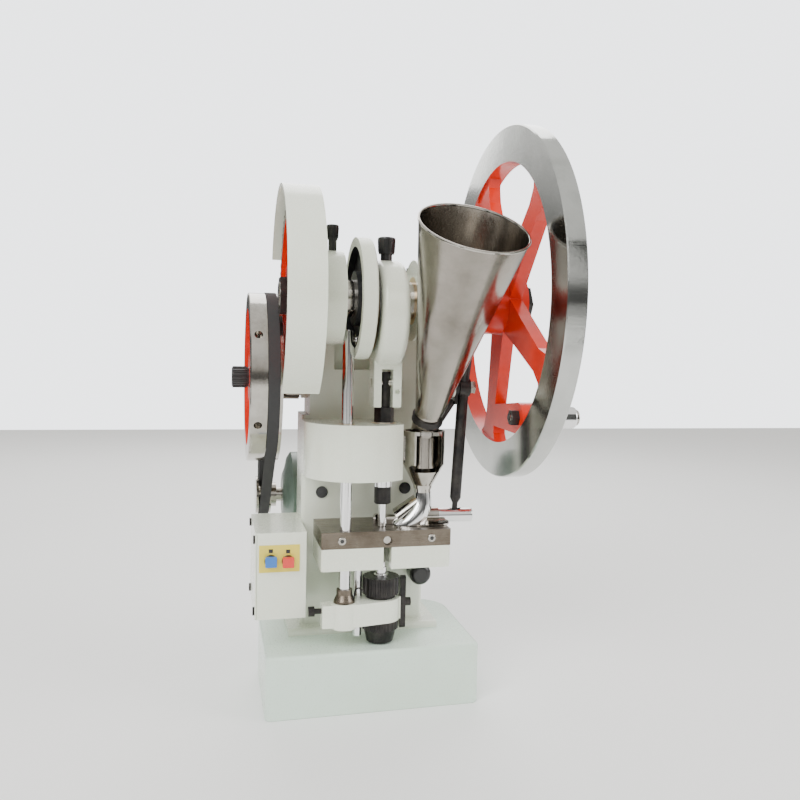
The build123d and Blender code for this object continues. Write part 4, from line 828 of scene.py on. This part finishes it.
@dataclass
class SmallParts:
    """Wire hook, knurled cup caps, painted shade in the screw sockets and the aged lip at the guard's
    lower end.
    """

    cups: tuple[tuple[str, str, float, float, float, float], ...] = (
        ("left_cup_knurl", "frame", -0.050, 0.507, 0.016, 0.0060),
        ("strap_cup_knurl", "ram", 0.0085, 0.495, 0.018, 0.0090))
    ribs: int = 28

    def build(self) -> None:
        """Makes the knurls, the painted shade in the sockets, the lip and the hook."""
        for cup in self.cups:
            self.knurl(*cup)
        # Flat near-black hexagons on the table screws' heads: painted shade of their sockets.
        for name, x in (("left_socket_shade", -0.0382), ("right_socket_shade", 0.0601)):
            profile = [(-0.02652, 0.0), (-0.02652, 0.0024), (-0.02645, 0.0024), (-0.02645, 0.0)]
            hexagon = turned(name, profile, (x, 0.0, 0.188), Turning.ALONG_Y, 6)
            settle(finished(name, hexagon, PAINTED_SOCKET_SHADE_AND_DARK_STEEL), "frame", "dark_steel")
        self.lip()
        points = [(-0.0225, -0.014, 0.1185), (-0.0225, -0.014, 0.128), (-0.020, -0.016, 0.134),
                  (-0.015, -0.018, 0.134), (-0.013, -0.018, 0.130)]
        hook = finished("wire_hook", wire_mesh("wire_hook", points, 0.0009), BLACK_OXIDE)
        settle(hook, "lift", "dark_steel")

    def knurl(self, name: str, body: str, x: float, low: float, height: float,
              radius: float) -> None:
        """Makes the upright ribs round one oil cup's cap.

        Args:
            name: The piece's name.
            body: The body that it rides on.
            x: The cap's axis.
            low: The cap's lower end.
            height: The cap's height.
            radius: The cap's radius.
        """
        shape = bmesh.new()
        root, grown = radius * 0.8, radius + 0.0007
        base, top = Vector((x, 0.0, low + 0.002)), Vector((x, 0.0, low + height - 0.003))
        for i in range(self.ribs):
            angle = math.tau * i / self.ribs
            out = Vector((math.cos(angle), math.sin(angle), 0.0))
            aside = Vector((-math.sin(angle), math.cos(angle), 0.0)) * 0.0004
            low_ring = [shape.verts.new(base + out * root + aside),
                        shape.verts.new(base + out * (grown - 0.0006)),
                        shape.verts.new(base + out * root - aside)]
            top_ring = [shape.verts.new(top + out * root + aside),
                        shape.verts.new(top + out * grown),
                        shape.verts.new(top + out * root - aside)]
            for j in range(3):
                k = (j + 1) % 3
                shape.faces.new((low_ring[j], low_ring[k], top_ring[k], top_ring[j]))
            shape.faces.new(low_ring[::-1])
            shape.faces.new(top_ring)
        settle(finished(name, mesh_from(name, shape), BLACK_PLASTIC), body, "black_plastic")

    def lip(self) -> None:
        """Makes the aged lip at the guard's lower end."""
        last = math.radians(240.0)
        inner, outer, depth, proud = 0.1112, 0.1149, 0.004, 0.00002
        ring = []
        for reach, back in ((inner, 0.0), (outer, 0.0), (outer, depth), (inner, depth)):
            angle = last - back / reach
            ring.append((reach * math.cos(angle), SHAFT_HEIGHT + reach * math.sin(angle)))
        shape = bmesh.new()
        ends = [[shape.verts.new((x, y - proud, z - proud)) for y, z in ring]
                for x in (-0.1058, -0.0692)]
        for j in range(4):
            k = (j + 1) % 4
            shape.faces.new((ends[0][j], ends[0][k], ends[1][k], ends[1][j]))
        shape.faces.new(ends[0][::-1])
        shape.faces.new(ends[1])
        lip = finished("guard_lip", mesh_from("guard_lip", shape), AGED_ENAMEL)
        settle(lip, "frame", "enamel")


# ---------------------------------------------------------------- stage
@dataclass
class Studio:
    """Floor, lights and camera."""

    eye: Vector = Vector((-0.1708, -0.8839, 0.3951))
    yaw: float = math.radians(15.4)
    pitch: float = math.radians(3.6)
    roll: float = math.radians(1.4)
    focal_ratio: float = 823.8 / 800.0
    shift: float = -0.05

    def build(self) -> None:
        """Makes the stage round the press."""
        mesh = bpy.data.meshes.new("floor")
        mesh.from_pydata([(-3, -3, 0), (3, -3, 0), (3, 3, 0), (-3, 3, 0)], [], [(0, 1, 2, 3)])
        floor = finished("floor", mesh, FLOOR)
        self.light("key_light", (-1.2, -1.5, 1.6), 1.5, 58.0)
        self.light("fill_light", (1.7, -0.9, 1.0), 1.2, 22.0)
        self.light("back_light", (0.2, 1.7, 1.7), 1.7, 34.0)
        self.flag("left_flag", -0.62, -1.15, 0.16)
        self.flag("right_flag", 0.66, -0.95, 0.20)
        self.flag("far_flag", -1.05, 0.1, 0.25)
        self.air()
        self.camera()

    def flag(self, name: str, x: float, y: float, width: float) -> None:
        """Stands a dark cloth screen out of view, which bright metal shows as a dark stripe.

        Args:
            name: The screen's name.
            x: Where it stands, to the right.
            y: Where it stands, to the back.
            width: Its width.
        """
        across = Vector((-y, x, 0.0)).normalized() * width / 2
        foot, height = Vector((x, y, 0.02)), Vector((0.0, 0.0, 1.1))
        mesh = bpy.data.meshes.new(name)
        corners = [foot - across, foot + across, foot + across + height, foot - across + height]
        mesh.from_pydata(corners, [], [(0, 1, 2, 3)])
        screen = finished(name, mesh, FLAG_CLOTH)

    def air(self) -> None:
        """Makes the pale surroundings, brighter above than at the sides."""
        world = bpy.data.worlds.new("studio_air")
        bpy.context.scene.world = world
        world.use_nodes = True
        nodes, link = world.node_tree.nodes, world.node_tree.links.new
        plain_air = nodes["Background"]
        plain_air.inputs["Color"].default_value = (0.95, 0.97, 1.0, 1.0)
        plain_air.inputs["Strength"].default_value = 3.2
        room, path = nodes.new("ShaderNodeBackground"), nodes.new("ShaderNodeLightPath")
        mix, place = nodes.new("ShaderNodeMixShader"), nodes.new("ShaderNodeTexCoord")
        split, ramp = nodes.new("ShaderNodeSeparateXYZ"), nodes.new("ShaderNodeValToRGB")
        link(place.outputs["Generated"], split.inputs["Vector"])
        height = nodes.new("ShaderNodeMapRange")
        height.inputs["From Min"].default_value = -1.0
        link(split.outputs["Z"], height.inputs["Value"])
        link(height.outputs["Result"], ramp.inputs["Fac"])
        shades = ((0.0, 0.55), (0.47, 0.62), (0.5, 0.10), (0.56, 0.16), (0.62, 0.85),
                  (0.8, 1.0), (1.0, 1.1))
        while len(ramp.color_ramp.elements) < len(shades):
            ramp.color_ramp.elements.new(0.5)
        for element, (stop, value) in zip(ramp.color_ramp.elements, shades):
            element.position = stop
            element.color = (value, value * 0.99, value * 0.96, 1.0)
        link(ramp.outputs["Color"], room.inputs["Color"])
        room.inputs["Strength"].default_value = 1.05
        link(path.outputs["Is Camera Ray"], mix.inputs["Fac"])
        link(room.outputs["Background"], mix.inputs[1])
        link(plain_air.outputs["Background"], mix.inputs[2])
        link(mix.outputs[0], nodes["World Output"].inputs["Surface"])

    def light(self, name: str, place: Sequence[float], size: float, power: float) -> None:
        """Adds one soft area light aimed at the press.

        Args:
            name: The light's name.
            place: Where it stands.
            size: Its side.
            power: Its power in watts.
        """
        data = bpy.data.lights.new(name, "AREA")
        data.size = size
        data.energy = power
        lamp = bpy.data.objects.new(name, data)
        lamp.location = place
        aim = Vector((0.0, 0.0, 0.3)) - Vector(place)
        lamp.rotation_euler = aim.to_track_quat("-Z", "Y").to_euler()
        bpy.context.scene.collection.objects.link(lamp)

    def camera(self) -> None:
        """Sets the camera that the press is seen from."""
        ahead = Vector((math.sin(self.yaw) * math.cos(self.pitch),
                        math.cos(self.yaw) * math.cos(self.pitch), -math.sin(self.pitch)))
        level = Vector((math.cos(self.yaw), -math.sin(self.yaw), 0.0))
        over = level.cross(ahead)
        right = level * math.cos(self.roll) + over * math.sin(self.roll)
        up = over * math.cos(self.roll) - level * math.sin(self.roll)
        data = bpy.data.cameras.new("front_camera")
        data.sensor_width = 36.0
        data.lens = 36.0 * self.focal_ratio
        data.shift_x = self.shift
        data.clip_start = 0.01
        viewer = bpy.data.objects.new("front_camera", data)
        turn = Matrix((right, up, -ahead)).transposed().to_4x4()
        viewer.matrix_world = Matrix.Translation(self.eye) @ turn
        bpy.context.scene.collection.objects.link(viewer)
        bpy.context.scene.camera = viewer


def main() -> None:
    """Builds the press's looks."""
    logging.basicConfig(level=logging.INFO)
    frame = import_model()
    CarriedNodes(frame["nodes"]).dress()
    for part in (Motor(), FeedChute(), HopperTrim(), WheelTrim(), ControlPanel(), SmallParts()):
        part.build()
    Studio().build()


if __name__ == "__main__":
    main()
